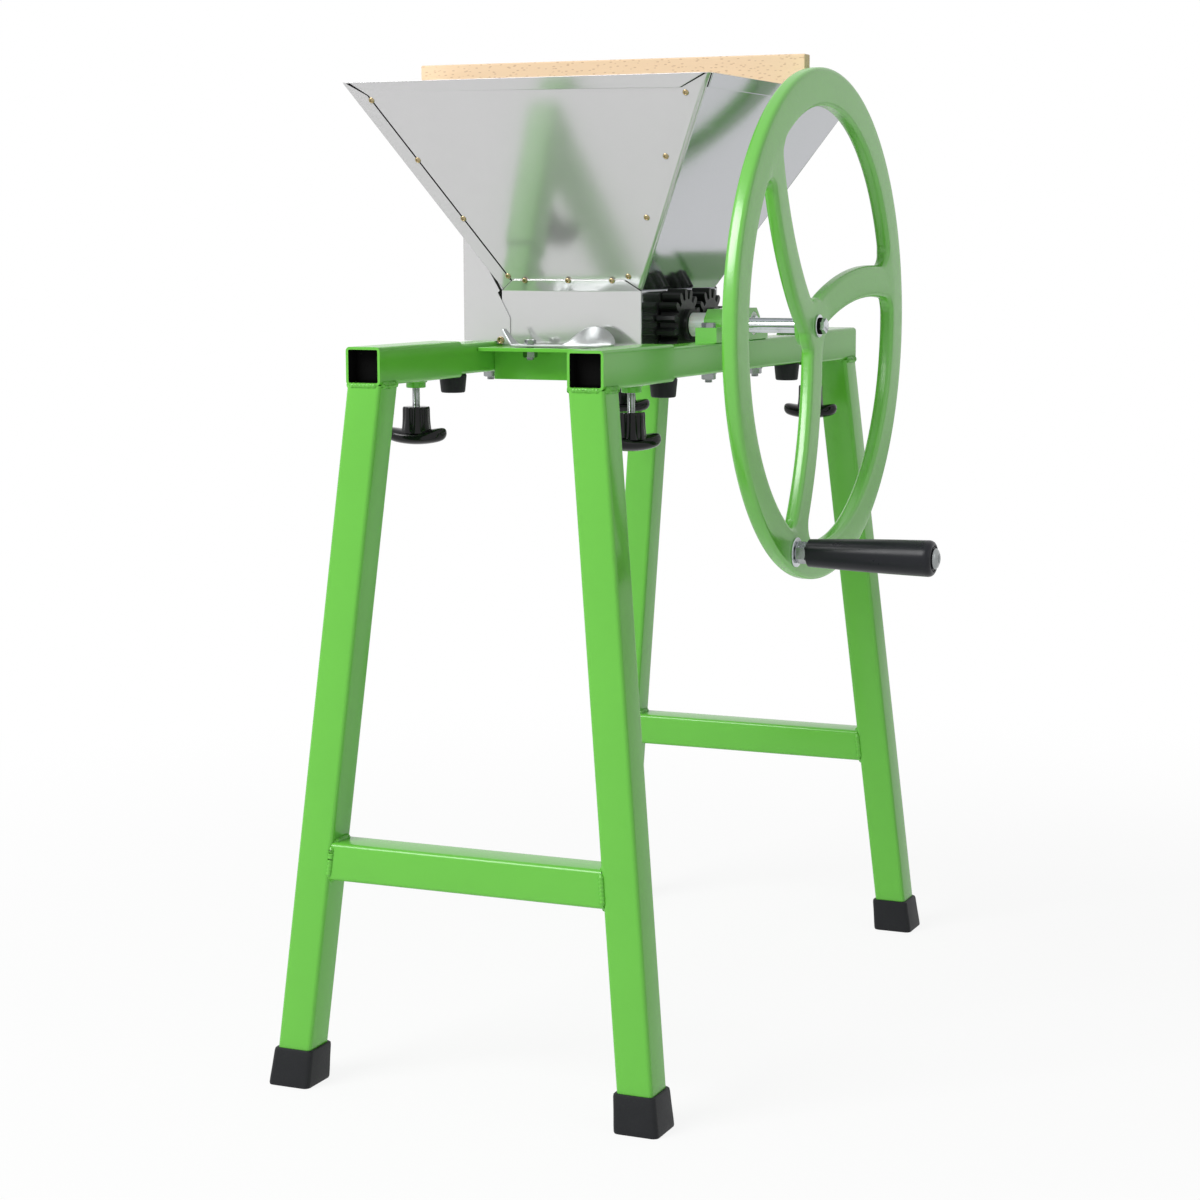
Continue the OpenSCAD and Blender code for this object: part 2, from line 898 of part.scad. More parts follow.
module left_guard() {
    hopper_left = -throat_offset - hopper_x(throat_top) - wall_x;
    wall_top = throat_top + (hopper_left - guard_x) / slope_x;
    edge_x = throat_left + guard_edge_x;
    tab_x = -rail_in_x + face_gap;
    tab_z = cross_top + sheet + face_gap;
    color(galvanised)
        difference() {
            union() {
                for (end = [front, rear])
                    at_end(end)
                        along_y(throat_y / 2, throat_y / 2 + sheet)
                            polygon([
                                [guard_x, rail_top],
                                [tab_x, rail_top],
                                [tab_x, tab_z],
                                [edge_x, tab_z],
                                [edge_x, throat_top - guard_chamfer_top],
                                [edge_x - guard_chamfer_x, throat_top - guard_bend_top],
                                [hopper_left - sheet, throat_top],
                                [guard_x, wall_top - sheet]
                            ]);
                block(
                    [guard_x, -throat_y / 2, rail_top],
                    [guard_x + sheet, throat_y / 2, wall_top - sheet - sheet / slope_x]
                );
            }
            guard_screw_holes();
        }
}

// Plates that lead the fruit between the rollers
module deflector(end) {
    top_z = throat_top - deflector_drop;
    hold_y = foot_half_y;
    lead = [
        [shaft_y + roller_d / 2 + deflector_gap, top_z - deflector_hold - deflector_fall],
        [hold_y, top_z - deflector_hold],
        [hold_y, top_z]
    ];
    color(zinc)
        at_end(end)
            along_x(throat_left + sheet + face_gap, throat_right - sheet - face_gap)
                polygon(bent_sheet(lead, sheet));
}

// Clip

module clip_bolt() {
    color(zinc)
        translate([clip_x, -clip_y, 0])
            bolt_with_nut(cross_top + sheet + clip_t + face_gap, cross_top - cross_wall);
}

module hold_down_clip() {
    base = cross_top + sheet;
    flat_end = clip_x + clip_far_flat;
    wing_end = flat_end + clip_wing_run;
    path = [
        [clip_x - clip_half_flat - clip_tab_run, base + clip_tab_rise],
        [clip_x - clip_half_flat, base],
        [flat_end, base],
        [wing_end, base + clip_wing_rise],
        [wing_end + clip_fall_run, base + clip_wing_rise - clip_fall_drop]
    ];
    color(zinc)
        difference() {
            along_y(-clip_y - clip_w / 2, clip_w / 2 - clip_y)
                polygon(bent_sheet(path, clip_t));
            clip_bolt_hole(running_gap);
        }
}

// Shafts, gears and rollers

module shaft(end) {
    color(zinc)
        difference() {
            along_x(-rail_out_x - shaft_stub, end == front ? hub_face_x - shaft_set_back : rail_out_x + shaft_stub)
                translate([end * shaft_y, shaft_z])
                    circle(d = shaft_d);
            if (end == front)
                along_x(hub_face_x - hub_bolt_depth, hub_face_x)
                    translate([-shaft_y, shaft_z])
                        circle(d = hub_bolt_d + 2 * seat_gap);
        }
}

// Involute function of an angle, in degrees
function involute(angle) = tan(angle) * 180 / PI - angle;

// Half of the angle that a tooth takes up at radius r
function half_tooth(r) =
    90 / teeth + involute(pressure_angle) - involute(acos(base_r / r))
        - tooth_play / 4 / pitch_r * 180 / PI;

function polar(r, angle) = r * [cos(angle), sin(angle)];

// One tooth, counterclockwise: root, flank up, flank down, root
function tooth_points(middle) =
    let (
        radii = [for (i = [0:flank_steps]) base_r + (tip_r - base_r) * i / flank_steps],
        root = pitch_r - tooth_below,
        foot = half_tooth(base_r)
    )
    concat(
        [polar(root, middle - foot)],
        [for (r = radii) polar(r, middle - half_tooth(r))],
        [for (i = [flank_steps:-1:0]) polar(radii[i], middle + half_tooth(radii[i]))],
        [polar(root, middle + foot)]
    );

module gear(end) {
    color(black)
        difference() {
            union() {
                along_x(gear_x, gear_x + gear_w)
                    translate([end * shaft_y, shaft_z])
                        polygon([for (i = [0:teeth - 1], p = tooth_points(i * 360 / teeth)) p]);
                along_x(gear_x + gear_w, gear_boss_x)
                    translate([end * shaft_y, shaft_z])
                        circle(d = gear_boss_d);
            }
            along_x(gear_x - overrun, gear_boss_x + overrun)
                translate([end * shaft_y, shaft_z])
                    circle(d = shaft_d + 2 * seat_gap);
        }
}

module roller(end) {
    color(zinc)
        along_x(throat_left + sheet + roller_gap, throat_right - sheet - roller_gap)
            translate([end * shaft_y, shaft_z])
                difference() {
                    union() {
                        circle(d = roller_core_d);
                        for (i = [0:roller_ribs - 1])
                            rotate(i * 360 / roller_ribs)
                                translate([0, -rib_w / 2])
                                    square([sqrt(roller_d * roller_d - rib_w * rib_w) / 2, rib_w]);
                    }
                    circle(d = shaft_d + 2 * seat_gap);
                }
}

// Flywheel

// Where a circle round the wheel's axis meets a circle round c, on the spoke's outer half
function meet(r, c, r_c) =
    let (
        d = norm(c),
        along = (d * d + r * r - r_c * r_c) / (2 * d),
        aside = sqrt(r * r - along * along),
        u = c / d
    )
    u * along + left_of(u) * aside;

// Fillet between a circle round the axis and an edge of the spoke
module spoke_fillet(circle_r, edge_r, fillet_r, circle_side, edge_side) {
    centre = meet(circle_r + circle_side * fillet_r, spoke_centre, edge_r + edge_side * fillet_r);
    corner = meet(circle_r, spoke_centre, edge_r);
    on_circle = unit(centre) * circle_r;
    on_edge = spoke_centre + unit(centre - spoke_centre) * edge_r;
    past = 1 + overrun / fillet_r;
    difference() {
        polygon([
            centre,
            centre + (on_circle - centre) * past,
            centre + (corner - centre) * past,
            centre + (on_edge - centre) * past
        ]);
        translate(centre)
            circle(r = fillet_r);
    }
}

module spoke() {
    inner_edge = spoke_r - spoke_w / 2;
    outer_edge = spoke_r + spoke_w / 2;
    half = wheel_r;
    intersection() {
        translate(spoke_centre)
            difference() {
                circle(r = outer_edge, $fn = 180);
                circle(r = inner_edge, $fn = 180);
            }
        rotate(spoke_turn + 90)
            translate([0, -half])
                square([rim_in_r + rim_w / 2, 2 * half]);
        circle(r = rim_in_r + rim_w / 2);
    }
    spoke_fillet(rim_in_r, outer_edge, rim_fillet, -1, 1);
    spoke_fillet(rim_in_r, inner_edge, rim_fillet, -1, -1);
    spoke_fillet(hub_r, outer_edge, hub_fillet, 1, 1);
    spoke_fillet(hub_r, inner_edge, hub_fillet, 1, -1);
}

module wheel_outline() {
    difference() {
        circle(r = wheel_r, $fn = 180);
        circle(r = rim_in_r, $fn = 180);
    }
    circle(d = hub_d);
    for (i = [0:spoke_count - 1])
        rotate(i * 360 / spoke_count)
            spoke();
}

// Section of the wheel turned round its axis: radius, and distance behind the rim's face
module wheel_section() {
    plate_r = hub_r + hub_fillet;
    spoke_face = (rim_t - spoke_t) / 2;
    polygon([
        [0, wheel_dish],
        [plate_r, wheel_dish],
        [rim_in_r, spoke_face],
        [rim_in_r, 0],
        [wheel_r + overrun, 0],
        [wheel_r + overrun, rim_t],
        [rim_in_r, rim_t],
        [rim_in_r, rim_t - spoke_face],
        [plate_r, wheel_dish + hub_plate_t],
        [0, wheel_dish + hub_plate_t]
    ]);
}

module flywheel() {
    color(green)
        difference() {
            union() {
                intersection() {
                    along_x(rim_back_x - wheel_dish, wheel_face_x)
                        translate([-shaft_y, shaft_z])
                            wheel_outline();
                    translate([wheel_face_x, -shaft_y, shaft_z])
                        rotate([0, -90, 0])
                            rotate_extrude($fn = 180)
                                wheel_section();
                }
                along_x(hub_end_x, hub_face_x - hub_plate_t / 2)
                    translate([-shaft_y, shaft_z])
                        circle(d = hub_boss_d);
            }
            along_x(hub_end_x - overrun, hub_face_x + overrun)
                translate([-shaft_y, shaft_z])
                    circle(d = shaft_d + 2 * seat_gap);
            along_x(rim_back_x - overrun, wheel_face_x + overrun)
                translate([crank_y, crank_z])
                    circle(d = crank_bolt_d + 2 * seat_gap);
        }
}

module hub_washer() {
    color(zinc)
        along_x(hub_face_x, hub_face_x + washer_t)
            translate([-shaft_y, shaft_z])
                difference() {
                    circle(d = hub_washer_d);
                    circle(d = hub_bolt_d + 2 * seat_gap);
                }
}

module hub_bolt() {
    head_x = hub_face_x + washer_t;
    color(zinc)
        translate([0, -shaft_y, shaft_z]) {
            along_x(hub_face_x - hub_bolt_depth + bolt_tail, head_x)
                circle(d = hub_bolt_d);
            along_x(head_x, head_x + hub_bolt_head_h)
                circle(d = hub_bolt_af / cos(30), $fn = 6);
        }
}

// Crank handle

module at_crank(from, to) {
    along_x(from, to)
        translate([crank_y, crank_z])
            children();
}

module handle_bolt() {
    color(zinc) {
        at_crank(crank_bolt_end_x, crank_head_x)
            circle(d = crank_bolt_d);
        at_crank(crank_head_x, crank_head_x + crank_head_h)
            circle(d = crank_head_d);
    }
}

module handle_nut() {
    color(zinc)
        at_crank(nut_x, nut_x + crank_nut_h)
            difference() {
                circle(d = crank_nut_af / cos(30), $fn = 6);
                circle(d = crank_bolt_d + 2 * seat_gap);
            }
}

module handle_washer() {
    color(zinc)
        at_crank(wheel_face_x, nut_x)
            difference() {
                circle(d = crank_washer_d);
                circle(d = crank_bolt_d + 2 * seat_gap);
            }
}

module handle_grip() {
    color(black)
        difference() {
            translate([grip_x, crank_y, crank_z])
                rotate([0, 90, 0])
                    cylinder(d1 = grip_d_in, d2 = grip_d_out, h = grip_len);
            at_crank(grip_x - overrun, grip_end_x + overrun)
                circle(d = crank_bolt_d + 2 * running_gap);
        }
}

// Pusher board

module pusher_board() {
    half = board_len / 2;
    color(beech)
        translate([-throat_offset, 0, rim_top])
            along_y(board_front, board_rear)
                polygon([
                    [-half, 0],
                    [-blade_top / 2, 0],
                    [-blade_bottom / 2, -blade_h],
                    [blade_bottom / 2, -blade_h],
                    [blade_top / 2, 0],
                    [half, 0],
                    [half, shoulder_h],
                    [-half, shoulder_h]
                ]);
}

// Leg frames

// Middle of a leg at height z, at the right rear corner
function leg_at(z) =
    let (share = z / stand_h)
    [foot_x + (rail_x - foot_x) * share, foot_y + (leg_top_y - foot_y) * share];

// Square bar of width w that follows a leg from z0 to z1
module leg_bar(w, z0, z1) {
    function level(z) = let (p = leg_at(z)) [p[0] - w / 2, p[0] + w / 2, p[1] - w / 2, p[1] + w / 2];
    taper(level(z0), level(z1), z0, z1);
}

module sleeves(end) {
    color(green)
        for (side = [left, right])
            at_corner(side, end)
                difference() {
                    along_y(sleeve_end_y - sleeve_len, sleeve_end_y)
                        translate([rail_x, rail_z])
                            square_tube(tube_w, tube_wall);
                    translate([rail_x, clamp_y, stand_h - overrun])
                        cylinder(d = stud_d + 2 * hole_gap, h = tube_wall + 2 * overrun);
                }
}

module leg(side, end) {
    color(green)
        at_corner(side, end)
            difference() {
                leg_bar(tube_w, cap_floor, stand_h);
                leg_bar(tube_w - 2 * tube_wall, 0, stand_h + overrun);
            }
}

// Bar between two legs: its ends and faces follow the slant of the legs
module crossbar_solid(inset, past) {
    function level(z) =
        let (p = leg_at(z), reach = p[0] - tube_w / 2 + past, half = tube_w / 2 - inset)
        [-reach, reach, p[1] - half, p[1] + half];
    z0 = crossbar_z + inset;
    z1 = crossbar_z + tube_w - inset;
    taper(level(z0), level(z1), z0, z1);
}

module crossbar(end) {
    color(green)
        at_end(end)
            difference() {
                crossbar_solid(0, 0);
                crossbar_solid(tube_wall, overrun);
            }
}

module foot_caps(end) {
    color(black)
        for (side = [left, right])
            at_corner(side, end)
                difference() {
                    leg_bar(cap_w, 0, cap_h);
                    leg_bar(tube_w, cap_floor, cap_h + overrun);
                }
}

// Clamps

module clamp_bosses(end) {
    color(green)
        for (side = [left, right])
            translate([side * rail_x, end * clamp_y, boss_bottom])
                difference() {
                    cylinder(d = boss_d, h = boss_h);
                    translate([0, 0, -overrun])
                        cylinder(d = stud_d + 2 * running_gap, h = boss_h + 2 * overrun);
                }
}

module clamp_stud(side, end) {
    foot_z = knob_top - knob_grip_depth;
    color(zinc)
        translate([side * rail_x, end * clamp_y, foot_z])
            cylinder(d = stud_d, h = rail_bottom - face_gap - foot_z);
}

module clamp_knob(side, end, turn) {
    wing_half = (wing_len - wing_end_d) / 2;
    color(black)
        translate([side * rail_x, end * clamp_y, wing_top])
            difference() {
                union() {
                    cylinder(d1 = knob_d, d2 = knob_neck_d, h = knob_hub_h);
                    rotate(turn)
                        translate([0, 0, -wing_h])
                            linear_extrude(wing_h) {
                                square([2 * wing_half, wing_w], center = true);
                                for (s = [-1, 1])
                                    translate([s * wing_half, 0])
                                        circle(d = wing_end_d);
                            }
                }
                translate([0, 0, knob_hub_h - knob_grip_depth])
                    cylinder(d = stud_d + 2 * seat_gap, h = knob_grip_depth + overrun);
            }
}

placed() rail(left);  // left_rail
placed() rail(right);  // right_rail
placed() rail_end_plugs();
placed() cross_member(front);  // front_cross_member
placed() cross_member(rear);  // rear_cross_member
placed() bearing_block(left);  // left_bearing_block
placed() bearing_block(right);  // right_bearing_block
placed() frame_bolts();
placed() shaft_bushes();
placed() throat_long_wall(front);  // throat_front_wall
placed() throat_long_wall(rear);  // throat_rear_wall
placed() side_plate(left);  // left_side_plate
placed() side_plate(right);  // right_side_plate
placed() left_guard();
placed() guard_screws();
placed() deflector(front);  // front_deflector
placed() deflector(rear);  // rear_deflector
placed() long_panel(front);  // hopper_front_panel
placed() long_panel(rear);  // hopper_rear_panel
placed() short_panel(left);  // hopper_left_panel
placed() short_panel(right);  // hopper_right_panel
placed() hopper_rivets();
placed() clip_bolt();
placed() rail_feet();
placed() shaft(front);  // drive_shaft
placed() gear(front);  // drive_gear
placed() roller(front);  // front_roller
placed() flywheel();
placed() hub_bolt();
placed() hub_washer();
placed() handle_bolt();
placed() handle_nut();
placed() handle_washer();
placed() handle_grip();
placed() shaft(rear);  // idler_shaft
placed() gear(rear);  // idler_gear
placed() roller(rear);  // rear_roller
placed() hold_down_clip();
placed() pusher_board();
placed() sleeves(front);  // front_sleeves
placed() leg(left, front);  // front_left_leg
placed() leg(right, front);  // front_right_leg
placed() crossbar(front);  // front_crossbar
placed() clamp_bosses(front);  // front_clamp_bosses
placed() foot_caps(front);  // front_foot_caps
placed() sleeves(rear);  // rear_sleeves
placed() leg(left, rear);  // rear_left_leg
placed() leg(right, rear);  // rear_right_leg
placed() crossbar(rear);  // rear_crossbar
placed() clamp_bosses(rear);  // rear_clamp_bosses
placed() foot_caps(rear);  // rear_foot_caps
placed() clamp_stud(left, front);  // front_left_stud
placed() clamp_stud(right, front);  // front_right_stud
placed() clamp_stud(left, rear);  // rear_left_stud
placed() clamp_stud(right, rear);  // rear_right_stud
placed() clamp_knob(left, front, 10);  // front_left_knob
placed() clamp_knob(right, front, 50);  // front_right_knob
placed() clamp_knob(left, rear, 30);  // rear_left_knob
placed() clamp_knob(right, rear, 5);  // rear_right_knob
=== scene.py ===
"""The look of a hand-cranked fruit crusher on an extending stand, dressed round its solids.

X runs along the shafts toward the flywheel, Y along the rails toward the rear, Z up from the
floor. Lengths are metres, and millimetres in profiles and in names that end in _mm. The classes
measure X from the middle of the stand; placed() carries it to the shared frame.
"""

import json
import logging
import math
from contextlib import contextmanager
from dataclasses import dataclass, field
from enum import Enum
from typing import Callable, Iterator, Sequence

import bmesh
import bpy
import numpy as np
from mathutils import Matrix, Vector
from mathutils.geometry import delaunay_2d_cdt


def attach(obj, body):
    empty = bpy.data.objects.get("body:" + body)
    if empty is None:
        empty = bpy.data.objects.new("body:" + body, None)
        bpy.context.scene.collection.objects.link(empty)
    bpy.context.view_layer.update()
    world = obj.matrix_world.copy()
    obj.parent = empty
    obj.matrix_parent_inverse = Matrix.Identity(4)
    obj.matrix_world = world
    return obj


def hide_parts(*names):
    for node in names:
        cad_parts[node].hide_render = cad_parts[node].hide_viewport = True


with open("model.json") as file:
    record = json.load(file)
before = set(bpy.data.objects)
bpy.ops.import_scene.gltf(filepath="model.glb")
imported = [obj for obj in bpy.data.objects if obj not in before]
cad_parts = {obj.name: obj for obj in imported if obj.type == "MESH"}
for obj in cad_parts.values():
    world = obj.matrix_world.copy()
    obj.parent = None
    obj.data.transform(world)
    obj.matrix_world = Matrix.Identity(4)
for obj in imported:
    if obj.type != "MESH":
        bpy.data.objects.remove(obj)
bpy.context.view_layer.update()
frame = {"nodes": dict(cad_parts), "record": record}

LOG = logging.getLogger("fruit_crusher")
Array = np.ndarray
Colour = tuple[float, float, float]
Point = Sequence[float]
Profile = Sequence[tuple[float, float]]
MM = 0.001
TURN = 2 * math.pi
SHARP = 34.0  # edges sharper than this many degrees are shaded as edges
UP, DOWN, ALONG = (0.0, 0.0, 1.0), (0.0, 0.0, -1.0), (1.0, 0.0, 0.0)


class Half(Enum):
    """One of two halves, by the sign of an axis."""

    @property
    def label(self) -> str:
        """The half's name in small letters."""
        return self.name.lower()


class Side(Half):
    """The two sides of the stand, by the sign of X from its middle plane."""

    LEFT = -1
    RIGHT = 1


class End(Half):
    """The two ends of the stand, by the sign of Y."""

    FRONT = -1
    REAR = 1


CORNERS = [(end, side) for end in End for side in Side]


@dataclass(frozen=True)
class Stand:
    """Places and sizes that several sub-assemblies share."""

    middle_x: float = -59.1 * MM
    rail_x: float = 90.0 * MM
    rail_half: float = 12.0 * MM
    rail_z: float = 546.25 * MM
    under_z: float = 534.25 * MM
    top_z: float = 532.0 * MM
    tube_half: float = 14.25 * MM
    tube_wall: float = 2.0 * MM
    tube_round: float = 3.2 * MM
    clamp_y: float = 200.0 * MM
    shaft_y: float = 26.0 * MM
    shaft_z: float = 571.5 * MM
    wheel_x: float = 182.7 * MM
    throat_mid: float = -13.2 * MM
    hopper_z: float = 598.6 * MM

    @property
    def tube(self) -> tuple[float, float, float]:
        """Half width, wall and corner radius of the legs' and sleeves' tube."""
        return self.tube_half, self.tube_wall, self.tube_round

    @property
    def axle(self) -> tuple[float, float, float]:
        """Where the drive shaft's axis crosses the middle plane."""
        return 0.0, -self.shaft_y, self.shaft_z


STAND = Stand()


# Shader graphs


def operator(operation: str, swapped: bool = False) -> Callable[["Value", object], "Value"]:
    """A method of Value that adds a Math node.

    Args:
        operation: the node's operation.
        swapped: whether the other value comes first, as in 1 - mask.

    Returns:
        The method, which gives the node's result.
    """

    def join(self: "Value", other: "Value | float") -> "Value":
        """The result of the operation on this value and another."""
        terms = (other, self) if swapped else (self, other)
        inputs = dict(enumerate(terms))
        return self.graph.node("ShaderNodeMath", {"operation": operation}, inputs)["Value"]

    return join


@dataclass(frozen=True, eq=False)
class Value:
    """A shader socket that takes part in Python sums and adds the Math nodes for them."""

    graph: "Graph"
    socket: bpy.types.NodeSocket

    __add__ = __radd__ = operator("ADD")
    __mul__ = __rmul__ = operator("MULTIPLY")
    __sub__ = operator("SUBTRACT")
    __rsub__ = operator("SUBTRACT", swapped=True)
    __pow__ = operator("POWER")
    at_least = operator("MAXIMUM")


@dataclass(frozen=True)
class Outputs:
    """The outputs of one node, by name or number, as values."""

    graph: "Graph"
    node: bpy.types.Node

    def __getitem__(self, key: str | int) -> Value:
        """The output of that name or number."""
        return Value(self.graph, self.node.outputs[key])


class Graph:
    """A node tree that is built from empty."""

    def __init__(self, tree: bpy.types.NodeTree) -> None:
        """Empties the tree of a material or a world."""
        tree.nodes.clear()
        self.nodes = tree.nodes
        self.links = tree.links

    def node(
        self,
        kind: str,
        settings: dict[str, object] | None = None,
        inputs: dict[str | int, object] | None = None,
    ) -> Outputs:
        """Adds a node.

        Args:
            kind: the node's type.
            settings: properties of the node, set first; "stops" gives a ramp's stops.
            inputs: socket name or number to a number, a colour or a value.

        Returns:
            The node's outputs.
        """
        node = self.nodes.new(kind)
        for key, value in (settings or {}).items():
            if key == "stops":
                elements = node.color_ramp.elements
                for _ in value[len(elements):]:
                    elements.new(1.0)
                for element, (position, colour) in zip(elements, value):
                    element.position, element.color = position, (*colour, 1.0)
            else:
                setattr(node, key, value)
        for key, value in (inputs or {}).items():
            self.feed(node.inputs[key], value)
        return Outputs(self, node)

    def feed(self, socket: bpy.types.NodeSocket, value: object) -> None:
        """Links a value to a socket, or sets the socket to a constant.

        Args:
            socket: an input socket.
            value: a value, a number, a vector or a colour.
        """
        if isinstance(value, Value):
            self.links.new(value.socket, socket)
        elif socket.type == "RGBA":
            socket.default_value = (*value, 1.0)
        else:
            socket.default_value = value

    def eased(
        self, value: Value, start: float, stop: float, low: float = 0.0, high: float = 1.0
    ) -> Value:
        """A smooth step while a value goes from start to stop.

        Args:
            value: the value.
            start: where the step begins.
            stop: where it ends.
            low: the result before it.
            high: the result after it.

        Returns:
            The stepped value.
        """
        names = ("Value", "From Min", "From Max", "To Min", "To Max")
        inputs = dict(zip(names, (value, start, stop, low, high)))
        settings = {"interpolation_type": "SMOOTHSTEP"}
        return self.node("ShaderNodeMapRange", settings, inputs)["Result"]

    def mirrored(self) -> Value:
        """1 for the rays that a gloss or a glass sends out, 0 for the others."""
        path = self.node("ShaderNodeLightPath")
        return path["Is Glossy Ray"].at_least(path["Is Transmission Ray"])


class Surface(Graph):
    """A material's graph, on the surface's own Object coordinates."""

    def __init__(self, name: str) -> None:
        """Starts a material with a Principled shader.

        Args:
            name: the material's name.
        """
        self.material = bpy.data.materials.new(name)
        self.material.use_nodes = True
        super().__init__(self.material.node_tree)
        self.shader = self.nodes.new("ShaderNodeBsdfPrincipled")
        self.output = self.nodes.new("ShaderNodeOutputMaterial")
        self.links.new(self.shader.outputs["BSDF"], self.output.inputs["Surface"])
        self.place = self.node("ShaderNodeTexCoord")["Object"]

    def set(self, **sockets: object) -> None:
        """Sets sockets of the Principled shader; an underscore stands for a space."""
        for name, value in sockets.items():
            self.feed(self.shader.inputs[name.replace("_", " ")], value)

    def stretched(self, *scale: float) -> Value:
        """Object coordinates scaled along each axis."""
        inputs = {"Vector": self.place, "Scale": scale}
        return self.node("ShaderNodeMapping", {"vector_type": "POINT"}, inputs)["Vector"]

    def noise(
        self, scale: float, detail: float = 2.0, rough: float = 0.5, place: Value | None = None
    ) -> Value:
        """Noise from 0 to 1.

        Args:
            scale: waves per metre of the place.
            detail: octaves.
            rough: weight of each next octave.
            place: coordinates, or None for the plain Object coordinates.

        Returns:
            The noise value.
        """
        inputs = {"Vector": place or self.place, "Scale": scale}
        inputs |= {"Detail": detail, "Roughness": rough}
        return self.node("ShaderNodeTexNoise", None, inputs)["Fac"]

    def mix(self, share: Value | float, first: Value | Colour, second: Value | Colour) -> Value:
        """A mix of two colours, by the numbers of the Mix node's colour sockets."""
        inputs = {0: share, 6: first, 7: second}
        return self.node("ShaderNodeMix", {"data_type": "RGBA"}, inputs)[2]

    def bump(self, height: Value, distance: float, strength: float = 1.0) -> None:
        """Feeds the shader's normal from a height, in metres at full distance."""
        inputs = {"Height": height, "Distance": distance, "Strength": strength}
        self.set(Normal=self.node("ShaderNodeBump", None, inputs)["Normal"])


def shade(colour: Colour, factor: float) -> Colour:
    """A colour made darker or lighter by a factor."""
    return tuple(min(1.0, part * factor) for part in colour)


# Finishes


@dataclass(frozen=True)
class Finish:
    """A material of a name and a colour; each kind lays its own tones, gloss and relief."""

    name: str
    colour: Colour

    def tones(self, graph: Surface, share: Value, low: float, high: float) -> Value:
        """The colour from low to high brightness over a share."""
        return graph.mix(share, shade(self.colour, low), shade(self.colour, high))

    def lay(self, graph: Surface) -> None:
        """Sets the sockets of the graph's shader."""
        raise NotImplementedError

    def build(self) -> bpy.types.Material:
        """The finished material."""
        graph = Surface(self.name)
        self.lay(graph)
        return graph.material


@dataclass(frozen=True)
class PowderPaint(Finish):
    """Gloss powder coat: one colour with faint orange peel, over smooth tube or rough casting."""

    roughness: float = 0.2
    ior: float = 1.48
    peel_mm: float = 0.028
    casting_mm: float = 0.0

    def lay(self, graph: Surface) -> None:
        """Cloudy colour, gritty gloss, and the peel and the casting's skin as relief.

        Args:
            graph: the material\'s graph.
        """
        cloud = graph.noise(14.0, 3.0)
        peel = graph.noise(190.0, 1.0)
        grit = graph.noise(900.0, 4.0, 0.6)
        graph.set(
            Base_Color=self.tones(graph, cloud, 0.96, 1.05),
            Roughness=self.roughness + 0.06 * (grit - 0.5),
            IOR=self.ior,
        )
        height = peel * self.peel_mm
        if self.casting_mm:
            height = height + graph.noise(300.0) * self.casting_mm
        graph.bump(height, MM)


@dataclass(frozen=True)
class SatinSheet(Finish):
    """Cold-rolled sheet: soft reflections, faint rolling streaks and cloudy handling marks."""

    metallic: float
    roughness: float

    def lay(self, graph: Surface) -> None:
        """Cloudy colour and gloss, and streaks along the rolling direction as relief.

        Args:
            graph: the material\'s graph.
        """
        streak = graph.noise(4.0, 5.0, 0.6, graph.stretched(3.0, 3.0, 160.0))
        cloud = graph.noise(9.0, 4.0, 0.6)
        speck = graph.noise(1500.0)
        graph.set(
            Base_Color=self.tones(graph, cloud, 0.95, 1.04),
            Metallic=self.metallic,
            Roughness=self.roughness + 0.08 * (cloud - 0.5) + 0.04 * (streak - 0.5),
            Specular_IOR_Level=0.7,
        )
        graph.bump(streak * 0.012 + speck * 0.004, 0.02 * MM, 0.5)


@dataclass(frozen=True)
class BrightMetal(Finish):
    """Plated or turned metal with fine machining marks and small spots of tarnish."""

    roughness: float
    tarnish: float

    def lay(self, graph: Surface) -> None:
        """Tarnish where the noise is high, and the marks as relief.

        Args:
            graph: the material\'s graph.
        """
        spots = graph.noise(120.0, 4.0, 0.6)
        graph.set(
            Base_Color=self.tones(graph, spots ** 3.0, 1.0, self.tarnish),
            Metallic=1.0,
            Roughness=self.roughness + 0.25 * (spots - 0.5),
        )
        graph.bump(graph.noise(700.0, 3.0), 0.03 * MM)


@dataclass(frozen=True)
class MouldedBlack(Finish):
    """Dark moulded plastic, rubber, blackened iron or painted shade, told apart by gloss and
    grain.
    """

    roughness: float
    grain_scale: float
    grain_mm: float
    dust: float
    specular: float

    def lay(self, graph: Surface) -> None:
        """Pale dust in patches, and the grain as relief.

        Args:
            graph: the material\'s graph.
        """
        dust = graph.noise(60.0, 5.0, 0.65)
        pale = tuple(part + self.dust for part in self.colour)
        graph.set(
            Base_Color=graph.mix(dust, self.colour, pale),
            Roughness=self.roughness + 0.2 * (dust - 0.5),
            Specular_IOR_Level=self.specular,
        )
        graph.bump(graph.noise(self.grain_scale, 3.0), self.grain_mm * MM)


@dataclass(frozen=True)
class WhiteNylon(Finish):
    """Turned nylon: pale, slightly waxy, with fine lathe rings."""

    def lay(self, graph: Surface) -> None:
        """Cloudy colour and gloss, and rings across X as relief.

        Args:
            graph: the material\'s graph.
        """
        rings = graph.noise(3.0, 2.0, 0.5, graph.stretched(700.0, 20.0, 20.0))
        cloud = graph.noise(80.0, 3.0)
        graph.set(
            Base_Color=self.tones(graph, cloud, 1.0, 0.93),
            Roughness=0.38 + 0.1 * (cloud - 0.5),
            Subsurface_Weight=0.15,
            Subsurface_Scale=0.002,
        )
        graph.bump(rings, 0.05 * MM)


